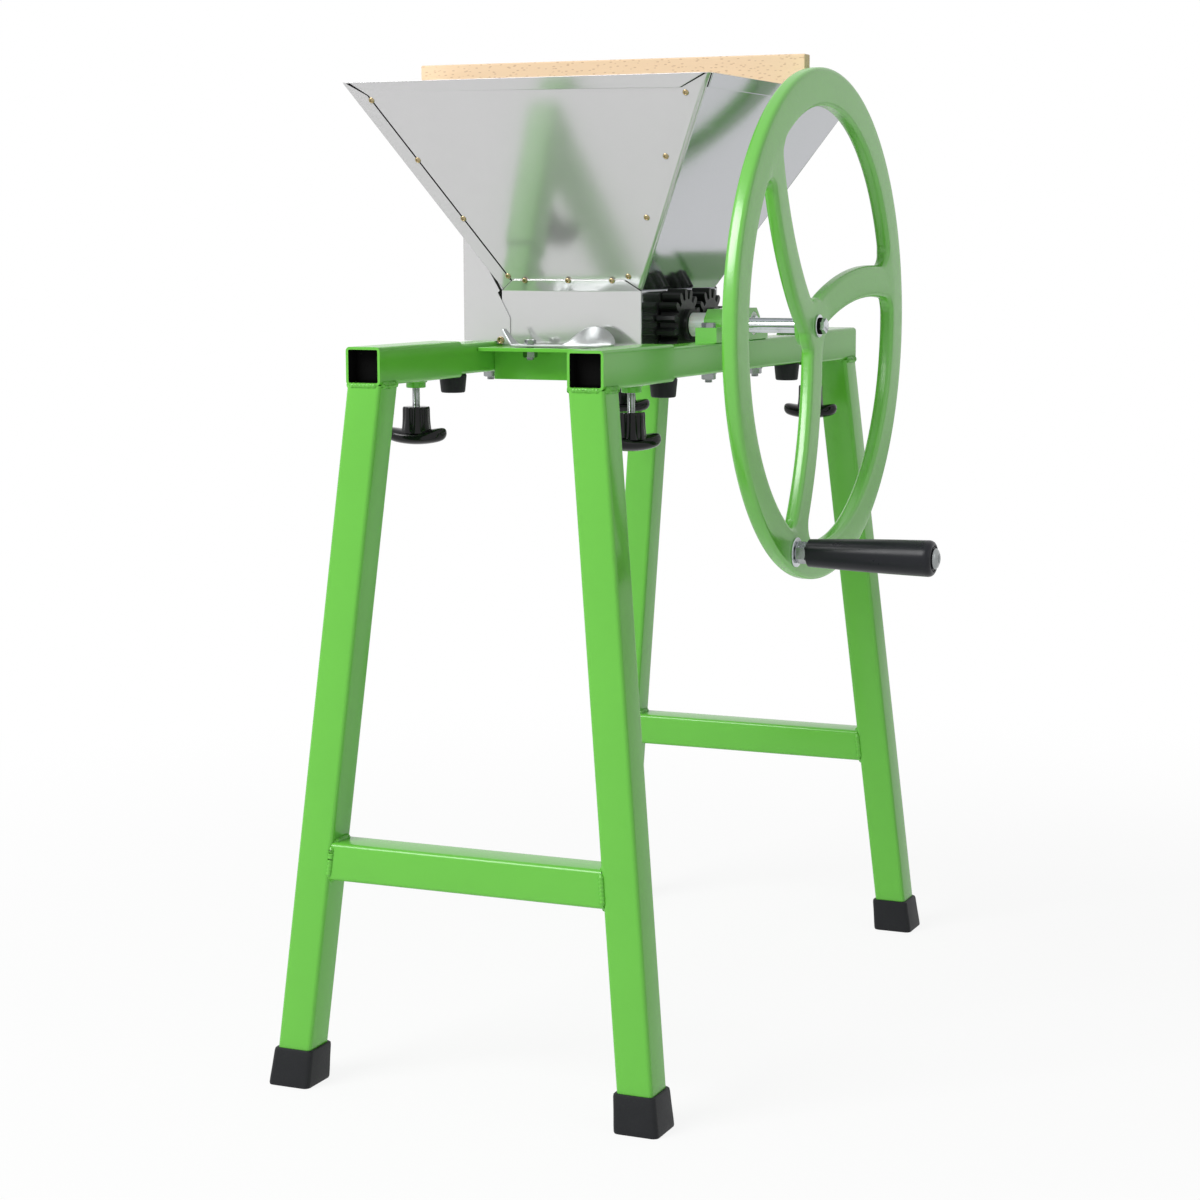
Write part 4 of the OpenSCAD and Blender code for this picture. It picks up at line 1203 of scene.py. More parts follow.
@dataclass
class ClampKnobs(Assembly):
    """Winged knobs that press the studs against the rails."""

    top_z: float = 512.0 * MM
    stud_z: float = 499.5 * MM
    hub_height: float = 20.0 * MM
    wing_z: float = 489.0 * MM
    wing_reach: float = 23.8 * MM
    turns: tuple[float, float, float, float] = (10.0, 50.0, 30.0, 5.0)

    def hub(self) -> Array:
        """Fluted hub along -Z.

        The radius at depth t of the hub is (10.5 + 1.4 t ** 3) mm, less 0.9 mm times the eighth
        power of cos(4 a) at angle a, which fades toward the wing.
        """
        t, a = np.linspace(0.0, 1.0, 22)[:, None], ring_angles(96)
        edge = np.sqrt(np.clip(t * 14.0, 0.05, 1.0)) * 0.06 + 0.94
        r = ((10.5 + 1.4 * t ** 3) * edge - 0.9 * np.cos(4 * a) ** 8 * (1 - t) ** 0.5) * MM
        parts = np.broadcast_arrays(r * np.cos(a), r * np.sin(a), self.top_z - self.hub_height * t)
        return np.stack(parts, axis=2)

    def wing(self) -> Array:
        """Boat-shaped wing.

        At share u of its half length the half width is 11.6 mm * (1 - |u| ** 3.2) ** 0.5, the
        middle rises by 2.9 mm * |u| ** 2.2 and the half thickness falls from 6 mm to 5.1 mm.
        """
        u = np.sin(np.linspace(-math.pi / 2, math.pi / 2, 61))[:, None]
        a, size = ring_angles(40), np.abs(u)
        width = 11.6 * np.sqrt(np.clip(1 - size ** 3.2, 0.0, 1.0)) + 0.05
        thick = (6.0 - 0.9 * size ** 1.5) * np.sqrt(np.clip(1 - size ** 12, 0.0, 1.0)) + 0.05
        y = width * np.sign(np.cos(a)) * np.abs(np.cos(a)) ** 0.8
        z = 2.9 * size ** 2.2 + thick * np.sin(a) - 0.9 * np.clip(np.sin(a), 0, 1) * (1 - size)
        parts = np.broadcast_arrays(self.wing_reach * u, y * MM, self.wing_z + z * MM)
        return np.stack(parts, axis=2)

    def build(self) -> None:
        """Builds four knobs with their studs."""
        for (end, side), turn in zip(CORNERS, np.radians(self.turns)):
            name = f"{end.label}_{side.label}"
            foot = np.array([side.value * STAND.rail_x, end.value * STAND.clamp_y, 0.0])
            across, along = round_points(turn)
            spin = np.array([[across, along, 0], [-along, across, 0], [0, 0, 1]])
            knob = Shell().add(placed(self.hub() @ spin + foot))
            knob = knob.add(placed(self.wing() @ spin + foot)).make(name + "_winged_knob", 50.0)
            self.shop.fit(knob, name + "_clamp", "black_plastic", [name + "_knob"])
            stud = Shell().turn(threaded(34.0, steps=20), UP, (foot[0], foot[1], self.stud_z))
            stud = stud.make(name + "_threaded_stud", 60.0)
            self.shop.fit(stud, name + "_clamp", "zinc_steel", [name + "_stud"], "dull_zinc")


# Crushing head


@dataclass
class Fasteners(Assembly):
    """Bolts of the frame and the clip, and the eyelets over the guard's screws."""

    bolt_x: float = 93.0 * MM
    bolt_y: float = 52.0 * MM
    plate_bolt_y: float = 71.0 * MM
    head_z: float = 570.0 * MM
    plate_z: float = 559.45 * MM
    clip_mm: tuple[float, float] = (-38.0, -105.0)
    eyelet_mm: tuple[float, float, float] = (-74.6, 83.2, 559.0)
    eyelet_profile: Profile = (
        (0.0, 2.9), (0.9, 3.05), (1.5, 2.7), (1.75, 2.2), (1.5, 1.7), (0.9, 1.5), (-0.4, 1.4),
        (-0.4, 0.1),
    )

    def bolt(self, shell: Shell, x: float, y: float, head_z: float) -> None:
        """Adds a hexagon bolt, its washer, its nut and its threaded end.

        Args:
            shell: where the pieces go.
            x: place from the middle of the stand.
            y: place along the rail.
            head_z: height of the face under the head.
        """
        nut_z = STAND.under_z
        shell.turn(hexagon(10.0, 4.0), UP, (x, y, head_z))
        shell.turn(disc(0.0, 1.0, 3.0, 6.3, 0.25, 40), DOWN, (x, y, nut_z))
        shell.turn(hexagon(10.0, 4.6, True), DOWN, (x, y, nut_z - 0.6 * MM))
        shell.turn(threaded(3.0), DOWN, (x, y, nut_z - 4.6 * MM))

    def build(self) -> None:
        """Builds the bolts and eyelets."""
        bolts, clip, eyelets = Shell(), Shell(), Shell()
        for end in End:
            for side in Side:
                self.bolt(bolts, side.value * self.bolt_x, end.value * self.bolt_y, self.head_z)
            self.bolt(bolts, -STAND.rail_x, end.value * self.plate_bolt_y, self.plate_z)
            x, y, z = (value * MM for value in self.eyelet_mm)
            eyelets.turn(lathe(self.eyelet_profile, 32), (0, end.value, 0), (x, end.value * y, z))
        for grid, axis, z_mm in (
            (hexagon(8.0, 3.4), UP, 557.3),
            (hexagon(10.0, 5.0, True), DOWN, 551.5),
            (threaded(7.0), DOWN, 551.5),
            (lathe([(-0.1, 2.9), (9.0, 2.9)], 24), UP, 550.0),
        ):
            clip.turn(grid, axis, np.array([*self.clip_mm, z_mm]) * MM)
        fit = self.shop.fit
        fit(bolts.make("hex_bolts"), "crusher", "zinc_steel", ["frame_bolts"], "dull_zinc")
        fit(clip.make("clip_pivot_bolt"), "crusher", "zinc_steel", ["clip_bolt"], "dull_zinc")
        fit(eyelets.make("guard_eyelets", 50.0), "crusher", "brass", ["guard_screws"])


@dataclass
class Hopper(Assembly):
    """Four slanted sheet panels with a folded rim, their corner flanges and rivets.

    The front and rear panels are bent round the right corners. The left panel is bent round the
    left ones, to a seam a flange's width along the long panels.
    """

    height: float = 161.4 * MM
    foot_half: tuple[float, float] = (59.6 * MM, 80.8 * MM)
    rim_half: tuple[float, float] = (155.0 * MM, 172.5 * MM)
    sheet: float = 1.2 * MM
    hem: float = 10.0 * MM
    hem_rise: float = 2.5 * MM
    hem_inset: float = 5.0 * MM
    lip: float = 8.5 * MM
    lip_cut: float = 12.0 * MM
    flange: float = 14.0 * MM
    inner_flange: float = 19.0 * MM
    seam: float = 1.3 * MM
    seam_open: float = 3.4 * MM
    bend: float = 3.2 * MM
    left_bend: float = 1.8 * MM
    apex: float = 2.9 * MM
    right_cut: float = 19.0 * MM
    wall_foot: float = 554.5 * MM
    throat_half: float = 60.8 * MM
    throat_y: float = 82.0 * MM
    rivet_mm: Profile = (
        (-0.2, 2.45), (0.15, 2.5), (0.45, 2.3), (0.85, 1.85), (0.95, 1.5), (0.8, 1.25),
        (0.05, 1.1), (0.0, 0.1),
    )

    def __post_init__(self) -> None:
        """Works out the heights, the slope of the panels and their level thickness."""
        self.foot_z = STAND.hopper_z
        self.top = self.foot_z + self.height
        self.hem_z = self.top - self.hem
        self.slant = self.foot_z + self.lip
        self.slope = (np.array(self.rim_half) - self.sheet - self.foot_half) / self.height
        self.wall = self.sheet * np.sqrt(1 + self.slope ** 2)

    def outer(self, z: float) -> tuple[float, float]:
        """Half sizes of the hopper's outer faces at a height, along X and Y."""
        return tuple(self.foot_half + self.slope * (z - self.foot_z))

    def levels(self, heights: Sequence[float], row: Callable[..., Sequence[float]]) -> list:
        """For each height a row of sizes, worked out from the outer half sizes, and z.

        Args:
            heights: the heights.
            row: function of the half sizes along X and Y and the height.

        Returns:
            The rows.
        """
        return [(*row(*self.outer(z), z), z) for z in heights]

    def slab(self, levels: Sequence[Sequence[float]], axis: int, sign: int) -> Array:
        """Sheet through two or more levels, as a tube of four corners round its section.

        Args:
            levels: for each level the start, end, inner face, outer face and z.
            axis: 0 for a panel across X, 1 for a panel across Y.
            sign: which of the two panels.

        Returns:
            Grid of rings of four corners.
        """
        start, end, inner, outer, z = np.array(levels).T[:, :, None]
        along = np.hstack([start, end, end, start])
        across = sign * np.hstack([inner, inner, outer, outer])
        x, y = (across, along) if axis == 0 else (along, across)
        return spot(x + STAND.throat_mid, y, z)

    def bend_points(self, x: float, y: float, radius: float, turn: int) -> tuple[Array, Array]:
        """Quarter turn of a sheet round the corner (x, y), from the Y face to the X face.

        The outer points lie on a circle of the bend's radius, the inner ones on the ellipse that
        leaves the level thickness of each wall.

        Args:
            x: half size along X at this level.
            y: half size along Y at this level.
            radius: outer radius of the bend.
            turn: 1 for the corner on +X, -1 for the corner on -X.

        Returns:
            The outer and the inner points.
        """
        shape = round_points(np.linspace(math.pi / 2, 0.0, 8)) * np.array([turn, 1])
        centre = np.array([turn * (x - radius), y - radius])
        return centre + radius * shape, centre + (radius - self.wall) * shape

    def hem_share(self, z: float) -> float:
        """Share of the hem's height that lies below z, from 0 to 1."""
        return float(np.clip((z - self.hem_z) / self.hem, 0.0, 1.0))

    def cut(self, z: float, width: float) -> float:
        """Where a diagonal cut lies from the corner: a width below the hem, the apex on top."""
        return width + (self.apex - width) * self.hem_share(z)

    def seam_edges(self, z: float) -> tuple[float, float]:
        """Where the left seam's two edges lie from the corner; it opens from the hem up."""
        near = self.cut(z, self.flange) - self.seam / 2
        return near, near + self.seam + (self.seam_open - self.seam) * self.hem_share(z)

    def ring(self, sections: Sequence[Sequence[Point]], z: float, end: int) -> Array:
        """A level section of a bent panel, from its stretches of points, in the shared frame."""
        x, y = np.concatenate(sections).T
        return spot(x + STAND.throat_mid, end * y, z)

    def long_panel(self, end: End) -> Shell:
        """Front or rear panel, bent round the right corner, and its hem with diagonal ends.

        Args:
            end: which of the two.

        Returns:
            The sheet and its hem.
        """
        rings, hem = [], []
        foot = np.array([0.0, -0.6 * MM])
        for z in (self.foot_z, self.hem_z, self.top):
            x, y = self.outer(z)
            start = self.seam_edges(z)[1] - x
            outer, inner = self.bend_points(x, y, self.bend, 1)
            section = (
                [(start, y)], outer, outer[-1:] + foot, inner[-1:] + foot, inner[::-1],
                [(start, y - self.wall[1])],
            )
            rings.append(self.ring(section, z, end.value))
            stop = self.cut(z, self.right_cut) + 0.6 * MM
            hem.append((start, x - stop, y, y + self.sheet * 0.95, z))
        fold = self.slab(hem[1:], 1, end.value)
        fold[0, [0, 3], 2] += self.hem_rise
        return Shell().add(np.stack(rings)).add(fold)

    def left_panel(self) -> Shell:
        """Left panel with both corners bent round to the seams of the front and rear panels."""
        rings, flip = [], np.array([1.0, -1.0])
        for z in (self.foot_z, self.hem_z, self.top):
            x, y = self.outer(z)
            edge = self.seam_edges(z)[0] - x
            outer, inner = self.bend_points(x, y, self.left_bend, -1)
            outer = np.concatenate([[(edge, y)], outer])
            inner = np.concatenate([[(edge, y - self.wall[1])], inner])
            rings.append(self.ring((outer, outer[::-1] * flip, inner * flip, inner[::-1]), z, 1))
        return Shell().add(np.stack(rings)).add(self.short_hem(Side.LEFT))

    def right_panel(self) -> Shell:
        """Right panel between the bends, with its hem and the flanges behind the long panels."""
        (wall_x, wall_y), heights = self.wall, (self.foot_z, self.top)
        inset, flange = self.bend + 0.9 * MM, self.inner_flange
        wall = self.levels(heights, lambda x, y, z: (inset - y, y - inset, x - wall_x, x))
        strip = self.levels(
            heights, lambda x, y, z: (x - flange, x - wall_x, y - 2 * wall_y, y - wall_y)
        )
        shell = Shell().add(self.slab(wall, 0, 1)).add(self.short_hem(Side.RIGHT))
        for end in End:
            shell.add(self.slab(strip, 1, end.value))
        return shell

    def short_hem(self, side: Side) -> Array:
        """Fold of the left or right rim, which stops short of the corners.

        Args:
            side: which of the two.

        Returns:
            Grid of points.
        """
        inset, fold = self.hem_inset, self.sheet * 0.95
        rows = self.levels(
            (self.hem_z, self.top), lambda x, y, z: (inset - y, y - inset, x, x + fold)
        )
        return self.slab(rows, 0, side.value)

    def throat_wall(self, end: End) -> Shell:
        """Front or rear wall of the throat box with its slanted lip, whose ends are cut back.

        Args:
            end: which of the two.

        Returns:
            The wall.
        """
        half, lean = self.throat_half, self.outer(self.slant)[1]
        cut = half - self.lip_cut
        levels = (
            (-half, half, self.foot_half[1], self.throat_y, self.wall_foot),
            (-half, half, self.foot_half[1], self.throat_y, self.foot_z),
            (-cut, cut, lean, lean + self.wall[1], self.slant),
        )
        return Shell().add(self.slab(levels, 1, end.value))

    def gap(self, end: End, middles: Sequence[Sequence[float]], raised: float) -> Array:
        """Strip of painted shade in the front or rear sheets.

        Args:
            end: which of the two.
            middles: for each level the strip's middle, half width and z.
            raised: how far it stands out from the hopper's outer face.

        Returns:
            Grid of points.
        """
        deep, shallow = self.wall[1] * 0.9 - raised, 0.25 * MM - raised
        rows = []
        for middle, wide, z in middles:
            y = self.outer(z)[1]
            rows.append((middle - wide, middle + wide, y - deep, y - shallow, z))
        return self.slab(rows, 1, end.value)

    def seam_shade_strips(self) -> Shell:
        """Painted shade in the seams: left seams, ends of the hems and ends of the lips."""
        shell = Shell()
        edge, rim = 0.3 * MM, self.top - 0.6 * MM
        seam, hem = [], []
        for z in (self.foot_z, self.hem_z, rim):
            near, far = self.seam_edges(z)
            seam.append(((near + far) / 2 - self.outer(z)[0], (far - near) / 2 + edge, z))
        for z, wide in ((self.hem_z, 0.4 * MM), (rim, 1.6 * MM)):
            hem.append((self.outer(z)[0] - self.cut(z, self.right_cut), wide, z))
        low, high = self.throat_half - 0.2 * MM, self.throat_half - self.lip_cut
        corner = self.levels(
            (self.hem_z, self.top - 0.8 * MM),
            lambda x, y, z: (y - 4.9 * MM, y - 3.9 * MM, x - self.sheet, x + edge),
        )
        for end in End:
            shell.add(self.gap(end, seam, 0.0)).add(self.gap(end, hem, 0.4 * MM))
            for sign in (-1, 1):
                foot = (sign * low, 0.5 * MM, self.foot_z + 0.4 * MM)
                lip = (sign * high, 0.9 * MM, self.slant)
                shell.add(self.gap(end, (foot, lip), 0.5 * MM))
            rows = np.array(corner)
            rows[:, :2] *= end.value
            shell.add(self.slab(rows, 0, 1))
        return shell

    def rivets(self) -> Shell:
        """Domed heads up the corners of the long panels and along the lips but the right one."""
        shell, head = Shell(), lathe(self.rivet_mm, 24)
        lip_z = self.slant - 0.3 * MM
        x, y = self.outer(lip_z) + self.wall
        steps = np.array([-38.0, 0.0, 38.0]) * MM
        for end in End:
            out = (0.0, end.value, -self.slope[1])
            for z in np.linspace(self.foot_z + 11.7 * MM, self.top - 13.7 * MM, 4):
                corner_x, corner_y = self.outer(z)
                for side in Side:
                    place = STAND.throat_mid + side.value * (corner_x - self.flange)
                    shell.turn(head, out, (place, end.value * corner_y, z))
            for step in steps:
                shell.turn(head, out, (STAND.throat_mid + step, end.value * y, lip_z))
        for step in steps:
            shell.turn(head, (-1.0, 0.0, -self.slope[0]), (STAND.throat_mid - x, step, lip_z))
        return shell

    def build(self) -> None:
        """Builds the panels, the throat's long walls, the painted shade in the seams and the
        rivets.
        """
        sheets = {f"hopper_{end.label}_panel": self.long_panel(end) for end in End}
        sheets["hopper_left_panel"] = self.left_panel()
        sheets["hopper_right_panel"] = self.right_panel()
        sheets |= {f"throat_{end.label}_wall": self.throat_wall(end) for end in End}
        for node, shell in sheets.items():
            piece = shell.make(node + "_sheet")
            soften(piece, 0.35 * MM, 2, 20.0)
            # The right panel takes the sheet whose colour holds painted shade and a bluish tint.
            finish = "shaded_mirror_sheet" if node == "hopper_right_panel" else None
            self.shop.fit(piece, "crusher", "galvanised_sheet", [node], finish)
        # Dark strips of painted shade sit in the seams.
        self.shop.fit(self.seam_shade_strips().make("painted_seam_shade"), "crusher", "galvanised_sheet", (), "shadow")
        rivets = self.rivets().make("rivet_heads", 50.0)
        self.shop.fit(rivets, "crusher", "brass", ["hopper_rivets"])


@dataclass
class HoldDownClip(Assembly):
    """Sheet-metal clip: upturned tab, flat middle and a scooped thumb wing."""

    middle_mm: tuple[float, float, float] = (-38.0, -105.0, 556.0)
    thickness: float = 1.4 * MM

    def surface(self) -> Array:
        """Middle surface over u along the clip and v across it.

        With t the share of the tab and w the share of the wing at u, the height is
        12.5 t ** 1.25 + 14.5 sin(pi w ** 1.15) ** 0.75 * ((v + 0.75) / 1.75) ** 1.25 + 0.8 w mm,
        so that the wing's rear edge rises and its front edge stays down. The half width is
        9 - 6 t ** 0.5 + 2.5 w ** 0.5 mm, and the wing's end is round.
        """
        spans = ((-23.0, -13.0, 12), (-12.0, 30.0, 30), (31.0, 72.0, 60))
        x = np.concatenate([np.linspace(*span) for span in spans])[:, None]
        v = np.linspace(-1.0, 1.0, 25)
        tab = np.clip((-12.5 - x) / 10.5, 0.0, 1.0)
        wing = np.clip((x - 27.0) / 45.0, 0.0, 1.0)
        half = 9.0 - 6.0 * tab ** 0.5 + 2.5 * wing ** 0.5
        tip = np.clip((wing - 0.72) / 0.28, 0.0, 1.0)
        ends = np.sqrt(np.clip(1 - tip ** 2.2, 0.002, 1.0))
        lift = 14.5 * np.sin(math.pi * wing ** 1.15) ** 0.75
        scoop = np.clip((v + 0.75) / 1.75, 0.0, 1.0) ** 1.25
        z = 12.5 * tab ** 1.25 + lift * scoop + 0.8 * wing
        grid = np.stack(np.broadcast_arrays(x, half * v * ends, z), axis=2)
        return placed((grid + np.array(self.middle_mm)) * MM)

    def build(self) -> None:
        """Builds the clip from its middle surface."""
        grid = self.surface()
        faces = grid_faces(*grid.shape[:2], False, False).tolist()
        piece = linked("clip_sheet", mesh_of("clip_sheet", grid.reshape(-1, 3), faces))
        sheet = piece.modifiers.new("thickness", "SOLIDIFY")
        sheet.thickness = self.thickness
        sheet.offset = 0.0
        soften(piece, 0.3 * MM, 2, 50.0).harden_normals = False
        smooth(piece.data, 60.0)
        self.shop.fit(piece, "clip", "zinc_steel", ["hold_down_clip"], "pressed_zinc")


@dataclass
class CrushingHead(Assembly):
    """Pieces of the head that keep the CAD shapes, with rounded edges.

    The right side plate ends where the hopper begins, as in the photograph.
    """

    widths_mm: tuple[tuple[float, Sequence[str]], ...] = (
        (0.7, ("front_cross_member", "rear_cross_member")),
        (1.2, ("left_bearing_block", "right_bearing_block")),
        (0.5, ("shaft_bushes",)),
        (0.4, ("left_side_plate", "right_side_plate", "left_guard")),
        (0.5, ("drive_gear", "idler_gear")),
        (0.6, ("front_roller", "rear_roller")),
        (1.0, ("pusher_board",)),
    )

    def build(self) -> None:
        """Rounds each node's edges."""
        finishes = dict.fromkeys(("left_bearing_block", "right_bearing_block"), "cast_paint")
        # The right side plate takes the sheet whose colour holds painted shade and a bluish tint.
        finishes["right_side_plate"] = "shaded_mirror_sheet"
        tops = {"right_side_plate": STAND.hopper_z}
        for width, nodes in self.widths_mm:
            for node in nodes:
                self.shop.rounded(node, width * MM, finishes.get(node), tops.get(node))


# Crank drive


@dataclass
class Flywheel(Assembly):
    """Cast wheel with three curved spokes and rounded edges."""

    radius: float = 199.5 * MM
    rim: float = 170.0 * MM
    hub: float = 22.0 * MM
    spoke_radius: float = 290.0 * MM
    spoke_half: float = 13.0 * MM
    spoke_miss: float = 3.3 * MM
    spoke_turn: float = -63.5
    rim_fillet: float = 13.0 * MM
    hub_fillet: float = 7.0 * MM
    rim_thickness: float = 12.0 * MM
    rim_step: float = 0.5 * MM
    dish: float = 7.2 * MM
    plate: float = 10.5 * MM
    edge: float = 3.6 * MM
    mesh_step: float = 7.0 * MM
    boss_mm: Profile = ((161.0, 5.0), (161.0, 16.5), (171.5, 16.5), (171.5, 5.0))

    def meet(self, reach: float, centre: Array, radius: float) -> Array:
        """Where two circles meet, on the spoke's side.

        Args:
            reach: radius of the circle round the axis.
            centre: centre of the spoke's circle.
            radius: radius of the spoke's circle.

        Returns:
            The point.
        """
        distance = np.linalg.norm(centre)
        along = (distance ** 2 + reach ** 2 - radius ** 2) / (2 * distance)
        aside = math.sqrt(reach ** 2 - along ** 2)
        return unit(centre) * along + np.array([-centre[1], centre[0]]) / distance * aside

    def arc(self, centre: Array, start: Array, end: Array, turn: int) -> Array:
        """Points of an arc about a centre, 2.2 mm or less apart.

        Args:
            centre: the arc's centre.
            start: its first point.
            end: the point that it stops before.
            turn: 1 for counterclockwise, -1 for clockwise.

        Returns:
            The points.
        """
        radius = np.linalg.norm(start - centre)
        first = math.atan2(*(start - centre)[::-1])
        sweep = (math.atan2(*(end - centre)[::-1]) - first) * turn % TURN
        count = max(int(radius * sweep / min(2.2 * MM, radius / 5)), 4)
        angle = first + turn * np.linspace(0.0, sweep, count, endpoint=False)
        return centre + radius * round_points(angle)

    def window(self, number: int) -> Array:
        """Outline of one window between two spokes, counterclockwise round the window.

        Args:
            number: the spoke behind the window.

        Returns:
            Points of eight arcs: four fillets, two spokes' edges, the rim and the hub.
        """
        turns = np.radians(self.spoke_turn + 120.0 * np.array([number, number + 1]))
        behind, ahead = (self.spoke_radius - self.spoke_miss) * round_points(turns)
        pins = []
        for spoke, side in ((behind, 1), (ahead, -1)):
            edge = self.spoke_radius + side * self.spoke_half
            for circle, fillet in ((self.hub, self.hub_fillet), (self.rim, -self.rim_fillet)):
                middle = self.meet(circle + fillet, spoke, edge + side * abs(fillet))
                pins.append((middle, unit(middle) * circle, spoke + unit(middle - spoke) * edge))
        low_hub, low_rim, high_hub, high_rim = pins
        zero = np.zeros(2)
        arcs = (
            (*low_hub, 1), (behind, low_hub[2], low_rim[2], -1),
            (low_rim[0], low_rim[2], low_rim[1], 1), (zero, low_rim[1], high_rim[1], 1),
            (*high_rim, 1), (ahead, high_rim[2], high_hub[2], 1),
            (high_hub[0], high_hub[2], high_hub[1], 1), (zero, high_hub[1], low_hub[1], -1),
        )
        return np.concatenate([self.arc(*arc) for arc in arcs])

    def depths(self, places: Array) -> tuple[Array, Array]:
        """Depth of the front and back faces behind the rim's front face.

        From the hub to the rim the plate runs straight from the dish to the rim's step, and a
        slope 2 mm wide leads over to the rim.

        Args:
            places: points (y, z) about the axis.

        Returns:
            The depths of both faces.
        """
        r = np.linalg.norm(places, axis=1)
        plate_r = self.hub + self.hub_fillet
        share = np.clip((r - plate_r) / (self.rim - plate_r), 0.0, 1.0)
        front = self.dish + (self.rim_step - self.dish) * share
        foot = self.dish + self.plate
        back = foot + (self.rim_thickness - self.rim_step - foot) * share
        blend = np.clip((r - self.rim + 1.0 * MM) / (2.0 * MM), 0.0, 1.0)
        return front * (1 - blend), back * (1 - blend) + self.rim_thickness * blend

    def inward(self, loop: Array) -> Array:
        """Unit normals of a counterclockwise loop, toward its inside."""
        along = unit(np.roll(loop, -1, axis=0) - np.roll(loop, 1, axis=0))
        return np.stack([-along[:, 1], along[:, 0]], axis=1)

    def edge_band(self, loop: Array, metal: Array) -> tuple[Array, Array]:
        """Rounded edge along a loop: two quarter circles of the edge radius joined by a wall.

        Args:
            loop: points of the outline.
            metal: unit normals toward the metal.

        Returns:
            Grid of (depth, y, z) rings from front to back, and the loop moved into the metal.
        """
        shifted = loop + metal * self.edge
        front, back = self.depths(shifted)
        turn = np.linspace(0.0, math.pi / 2, 7)
        rings = []
        for face, sign, angles in ((front, 1, turn), (back, -1, turn[::-1])):
            for t in angles:
                flat = loop + metal * self.edge * (1 - math.sin(t))
                rings.append(np.column_stack([face + sign * self.edge * (1 - math.cos(t)), flat]))
        return np.stack(rings), shifted

    def face_mesh(self, loops: Sequence[Array]) -> tuple[Array, Array]:
        """Triangles of a flat face inside the outer loop and outside the windows.

        Args:
            loops: the outer loop and the windows.

        Returns:
            The points and the corner numbers of each triangle.
        """
        axis = np.arange(-self.radius, self.radius, self.mesh_step)
        inner = np.stack(np.meshgrid(axis, axis), axis=2).reshape(-1, 2)
        border = np.concatenate(loops)
        gap = np.min(np.linalg.norm(inner[:, None] - border[None, ::2], axis=2), axis=1)
        inner = inner[(gap > 0.5 * self.mesh_step) & self.in_metal(inner, loops)]
        edges, start = [], 0
        for loop in loops:
            edges += [(start + i, start + (i + 1) % len(loop)) for i in range(len(loop))]
            start += len(loop)
        points = [Vector(p) for p in np.concatenate([border, inner])]
        found = delaunay_2d_cdt(points, edges, [], 0, 1e-7)
        flat, triangles = np.array([list(p) for p in found[0]]), np.array(found[2])
        return flat, triangles[self.in_metal(flat[triangles].mean(axis=1), loops)]

    def in_metal(self, points: Array, loops: Sequence[Array]) -> Array:
        """Whether points lie inside the first loop and outside the others.

        Args:
            points: points (y, z) about the axis.
            loops: the outer loop and the windows.

        Returns:
            True where a level ray from the point crosses the loops an odd number of times.
        """
        inside = np.zeros(len(points), dtype=int)
        y, z = points.T[:, :, None]
        for loop in loops:
            (y0, z0), (y1, z1) = loop.T, np.roll(loop, -1, axis=0).T
            above = (z0 > z) != (z1 > z)
            cut = y0 + (z - z0) / np.where(z1 == z0, 1e-12, z1 - z0) * (y1 - y0)
            inside += np.sum(above & (y < cut), axis=1)
        return inside % 2 == 1

    def to_frame(self, depth: Array, places: Array) -> Array:
        """Points at a depth behind the wheel's front face, in the shared frame."""
        y, z = places.T
        return spot(STAND.wheel_x - depth, y - STAND.shaft_y, z + STAND.shaft_z)

    def build(self) -> None:
        """Builds the wheel: rounded edge bands, faces filled between them and the hub's boss."""
        outer = self.radius * round_points(ring_angles(480))
        shell, shifted = Shell(), []
        for number, loop in enumerate([outer] + [self.window(k) for k in range(3)]):
            sign = -1 if number else 1
            rings, moved = self.edge_band(loop, sign * self.inward(loop))
            shifted.append(moved)
            quads = grid_faces(*rings.shape[:2], False, True)
            flat = rings.reshape(-1, 3)
            shell.gather(self.to_frame(flat[:, 0], flat[:, 1:]), quads[:, ::-sign].tolist())
        flat, triangles = self.face_mesh(shifted)
        for depth, order in zip(self.depths(flat), (1, -1)):
            shell.gather(self.to_frame(depth, flat), triangles[:, ::order].tolist())
        mesh = mesh_of("cast_wheel", np.concatenate(shell.points), shell.faces)
        self.close(mesh)
        wheel = linked("cast_wheel", mesh)
        self.shop.fit(wheel, "drive", "green_paint", ["flywheel"], "cast_paint")
        boss = Shell().turn(lathe(eased_profile(self.boss_mm, 1.2), 64), ALONG, STAND.axle)
        self.shop.fit(boss.make("wheel_boss"), "drive", "green_paint", (), "cast_paint")

    def close(self, mesh: bpy.types.Mesh) -> None:
        """Joins the bands to the faces and turns every face outwards.

        Args:
            mesh: the wheel's mesh.
        """
        with edited(mesh) as shape:
            bmesh.ops.remove_doubles(shape, verts=shape.verts, dist=0.004 * MM)
            bmesh.ops.recalc_face_normals(shape, faces=shape.faces)
        smooth(mesh, 40.0)


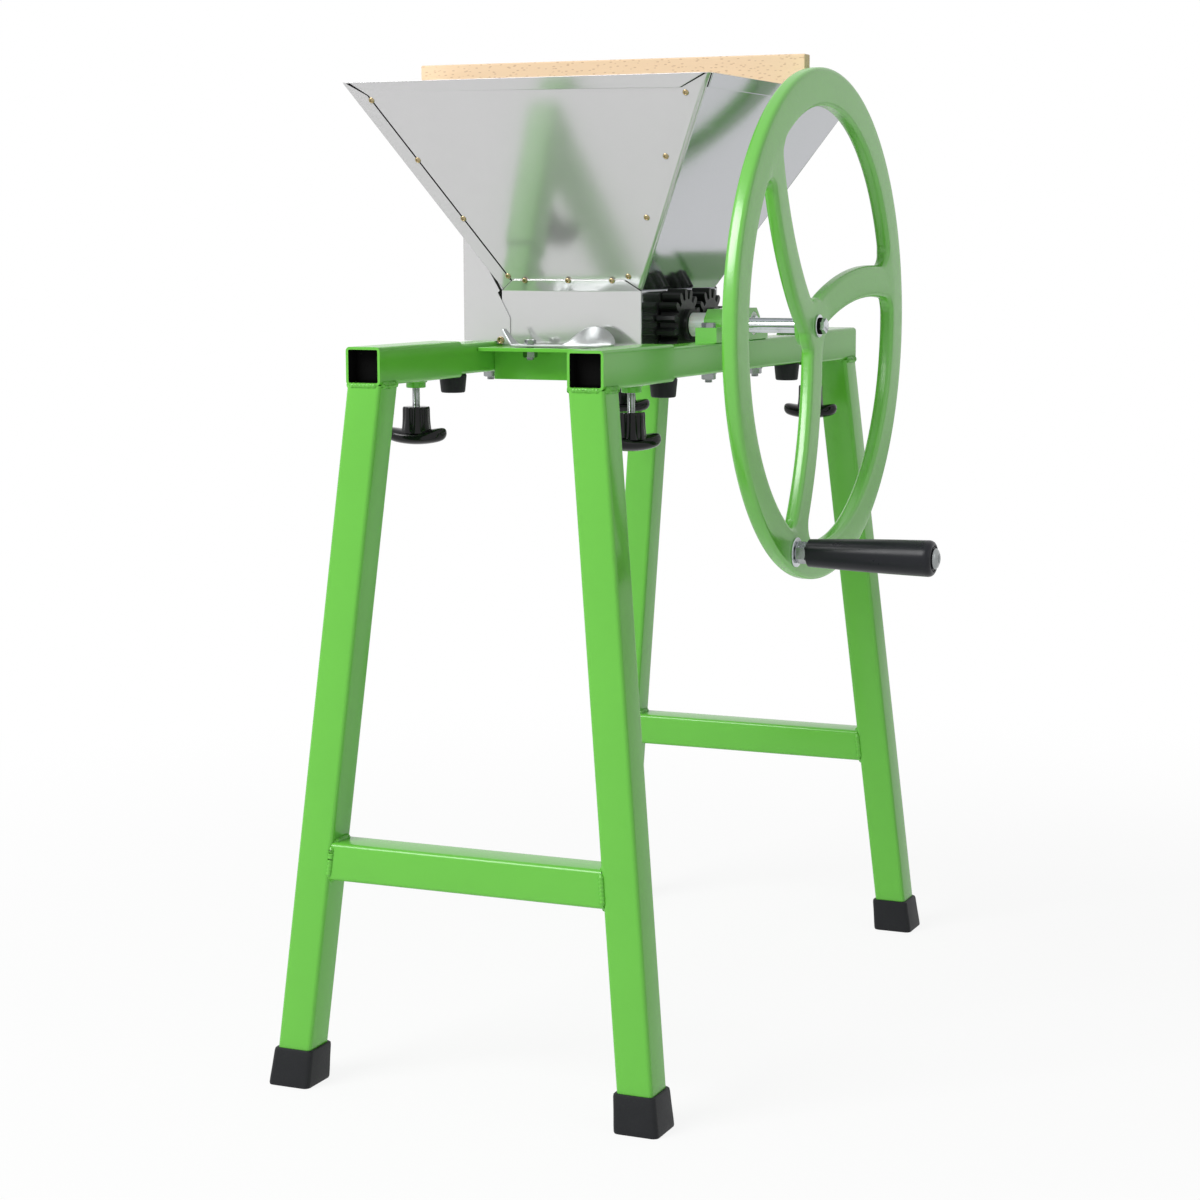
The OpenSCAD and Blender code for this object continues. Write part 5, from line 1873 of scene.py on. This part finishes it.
@dataclass
class CrankHandle(Assembly):
    """Washer, nut and tapered grip on the handle bolt, and the hub's washers and bolt."""

    crank_y: float = -95.302 * MM
    crank_z: float = 399.971 * MM
    grip_x: float = 193.2 * MM
    head_x: float = 293.4 * MM
    shank_x: float = 168.7 * MM
    shank_mm: float = 124.7
    shoulder_x: float = 170.5 * MM
    washer_mm: float = 1.6
    hub_bolt_x: float = 178.5 * MM
    grip_end_mm: Profile = (
        (98.0, 13.6), (99.2, 12.9), (100.0, 11.9), (100.4, 10.8), (100.3, 10.1), (99.4, 9.7),
        (99.3, 8.9), (100.1, 8.6), (100.2, 4.3),
    )
    bolt_head_mm: Profile = (
        (0.0, 4.0), (0.0, 7.7), (0.5, 8.0), (1.6, 7.9), (2.6, 7.0), (3.5, 5.2), (4.0, 3.6),
        (3.9, 3.0), (3.2, 2.6), (3.1, 0.2),
    )

    def at(self, grid: Array, x: float) -> Array:
        """A surface about +X moved to the handle's axis, starting at x."""
        return turned_to(grid, ALONG, (x, self.crank_y, self.crank_z))

    def grip(self) -> Array:
        """Grip, a little fuller than a cone, with a grooved round end.

        At share t of its length the radius is 10.75 + 3.2 t + 0.35 sin(pi t) mm.
        """
        t = np.linspace(0.0, 1.0, 40)
        body = zip(t * 95.5 + 1.0, 10.75 + 3.2 * t + 0.35 * np.sin(math.pi * t))
        return lathe([(0.0, 4.3), (0.0, 8.6), (0.25, 9.6), *body, *self.grip_end_mm], 72)

    def build(self) -> None:
        """Builds the handle's pieces and the hub's fasteners."""
        grip = Shell().add(self.at(self.grip(), self.grip_x)).make("tapered_grip", 42.0)
        self.shop.fit(grip, "grip", "black_plastic", ["handle_grip"], "satin_black")
        bolt = Shell().add(self.at(lathe(self.bolt_head_mm), self.head_x))
        bolt.add(self.at(lathe([(0.0, 4.0), (self.shank_mm, 4.0)], 32), self.shank_x))
        bolt.add(self.at(hexagon(13.0, 0.1), self.shoulder_x))
        wheel_x, thick = STAND.wheel_x, self.washer_mm
        washer = self.at(disc(0.0, thick, 4.1, 11.5, 0.4, 64), wheel_x)
        nut = self.at(hexagon(15.0, 8.7, True), wheel_x + thick * MM)
        hub_washer = turned_to(disc(175.5, 177.1, 4.1, 9.0, 0.4, 48), ALONG, STAND.axle)
        spring = turned_to(disc(177.1, 178.7, 4.1, 6.6, 0.3, 40), ALONG, STAND.axle)
        hub_bolt = turned_to(hexagon(10.4, 3.9), ALONG, (self.hub_bolt_x, *STAND.axle[1:]))
        for name, shell, nodes, finish, angle in (
            ("handle_washer_disc", Shell().add(washer), ["handle_washer"], None, SHARP),
            ("handle_hex_nut", Shell().add(nut), ["handle_nut"], "dull_zinc", SHARP),
            ("handle_long_bolt", bolt, ["handle_bolt"], "dull_zinc", 40.0),
            ("hub_washer_disc", Shell().add(hub_washer), ["hub_washer"], None, SHARP),
            # A spring washer's shape in the flat black of painted shade, for the dark ring between
            # washer and bolt head.
            ("hub_spring_washer", Shell().add(spring), (), "shadow", SHARP),
            ("hub_hex_bolt", Shell().add(hub_bolt), ["hub_bolt"], None, SHARP),
        ):
            self.shop.fit(shell.make(name, angle), "drive", "zinc_steel", nodes, finish)


# Studio


@dataclass
class Studio:
    """Pale floor, white surroundings and soft lamps.

    The floor's mirror image dims behind the object, most of all where the sleeves' sides see it.
    """

    floor_half: float = 40.0
    floor_colour: Colour = (0.93, 0.93, 0.93)
    floor_glow: float = 0.88
    sky_dark: float = 0.22
    sky_light: float = 0.58
    dim_near: float = 0.08
    dim_far: float = 0.55
    aim: tuple[float, float, float] = (0.0, 0.0, 0.45)

    def floor(self) -> None:
        """Large floor whose far parts fade to the white of the surroundings in the view."""
        corners = ((-1, -1, 0), (1, -1, 0), (1, 1, 0), (-1, 1, 0))
        mesh = mesh_of("floor", np.array(corners) * self.floor_half, [(0, 1, 2, 3)])
        graph = Surface("pale_floor")
        graph.set(Base_Color=self.floor_colour, Roughness=0.9)
        length = {"operation": "LENGTH"}
        distance = graph.node("ShaderNodeVectorMath", length, {0: graph.place})["Value"]
        back = graph.node("ShaderNodeSeparateXYZ", None, {"Vector": graph.place})["Y"]
        gloss = graph.mirrored()
        behind = graph.eased(back, -0.3, 0.9) * (1.0 - graph.eased(back, 5.0, 9.0))
        dimmed = gloss * (behind * graph.eased(back, 3.0, 3.8, self.dim_near, self.dim_far))
        glow = graph.node("ShaderNodeEmission", None, {"Color": 1.0 - dimmed, "Strength": 1.0})
        seen = graph.node("ShaderNodeLightPath")["Is Camera Ray"].at_least(gloss)
        share = graph.eased(distance, 0.3, 1.5, self.floor_glow, 1.0) * seen
        inputs = {0: share, 1: Value(graph, graph.shader.outputs["BSDF"]), 2: glow["Emission"]}
        mixed = graph.node("ShaderNodeMixShader", None, inputs)["Shader"]
        graph.links.new(mixed.socket, graph.output.inputs["Surface"])
        mesh.materials.append(graph.material)
        linked("floor", mesh)

    def surroundings(self) -> None:
        """World that is white to the camera and in gloss, and lights less from +X and +Y."""
        world = bpy.data.worlds.new("surroundings")
        world.use_nodes = True
        graph = Graph(world.node_tree)
        heading = graph.node("ShaderNodeTexCoord")["Generated"]
        parts = graph.node("ShaderNodeSeparateXYZ", None, {"Vector": heading})
        share = graph.eased((parts["X"] + parts["Y"]) * -0.7, -1.0, 1.0)
        light = self.sky_dark + share * (self.sky_light - self.sky_dark)
        white = graph.node("ShaderNodeLightPath")["Is Camera Ray"].at_least(graph.mirrored())
        inputs = {"Color": light + white * (1.0 - light), "Strength": 1.0}
        background = graph.node("ShaderNodeBackground", None, inputs)["Background"]
        graph.node("ShaderNodeOutputWorld", None, {"Surface": background})
        bpy.context.scene.world = world

    def lamp(self, name: str, place: Point, size: float, power: float) -> None:
        """Square area lamp that faces the middle of the object.

        Args:
            name: the lamp's name.
            place: where it stands.
            size: its width.
            power: its power in watts.
        """
        light = bpy.data.lights.new(name, "AREA")
        light.size = size
        light.energy = power
        lamp = linked(name, light)
        lamp.location = place
        aim = Vector(self.aim) - Vector(place)
        lamp.rotation_euler = aim.to_track_quat("-Z", "Y").to_euler()

    def build(self) -> None:
        """Sets up floor, surroundings, lamps and colour view."""
        self.floor()
        self.surroundings()
        self.lamp("key", (-1.4, -2.5, 2.65), 1.7, 86.0)
        self.lamp("fill", (2.4, -0.6, 1.6), 1.6, 4.0)
        bpy.context.scene.view_settings.view_transform = "Standard"


@dataclass
class Camera:
    """Camera at the photograph's viewing angle."""

    place: tuple[float, float, float] = (0.7883, -1.95536, 0.63448)
    yaw: float = 22.95
    pitch: float = 7.89
    roll: float = -0.07
    focal: float = 77.265
    shift: tuple[float, float] = (-0.0408, 0.0019)

    def build(self) -> None:
        """Creates the scene's camera."""
        yaw, pitch, roll = (math.radians(a) for a in (self.yaw, self.pitch, self.roll))
        level = math.cos(pitch)
        ahead = np.array([-math.sin(yaw) * level, math.cos(yaw) * level, -math.sin(pitch)])
        right = np.array([math.cos(yaw), math.sin(yaw), 0.0])
        side = math.cos(roll) * right + math.sin(roll) * np.cross(right, ahead)
        lens = bpy.data.cameras.new("camera")
        lens.lens = self.focal
        lens.sensor_width = 36.0
        lens.shift_x, lens.shift_y = self.shift
        lens.clip_end = 100.0
        basis = np.column_stack([side, np.cross(side, ahead), -ahead])
        matrix = Matrix(basis.tolist()).to_4x4()
        matrix.translation = self.place
        camera = linked("camera", lens)
        camera.matrix_world = matrix
        bpy.context.scene.camera = camera


def main() -> None:
    """Builds every sub-assembly, the studio and the camera, and reports each piece."""
    logging.basicConfig(level=logging.INFO, format="%(name)s: %(message)s")
    shop = Workshop()
    Rails(shop).build()
    for end in End:
        LegFrame(shop, end).build()
    for kind in (ClampKnobs, Fasteners, Hopper, HoldDownClip, CrushingHead, Flywheel, CrankHandle):
        kind(shop).build()
    Studio().build()
    Camera().build()
    LOG.info("%d new pieces", shop.count)


if __name__ == "__main__":
    main()
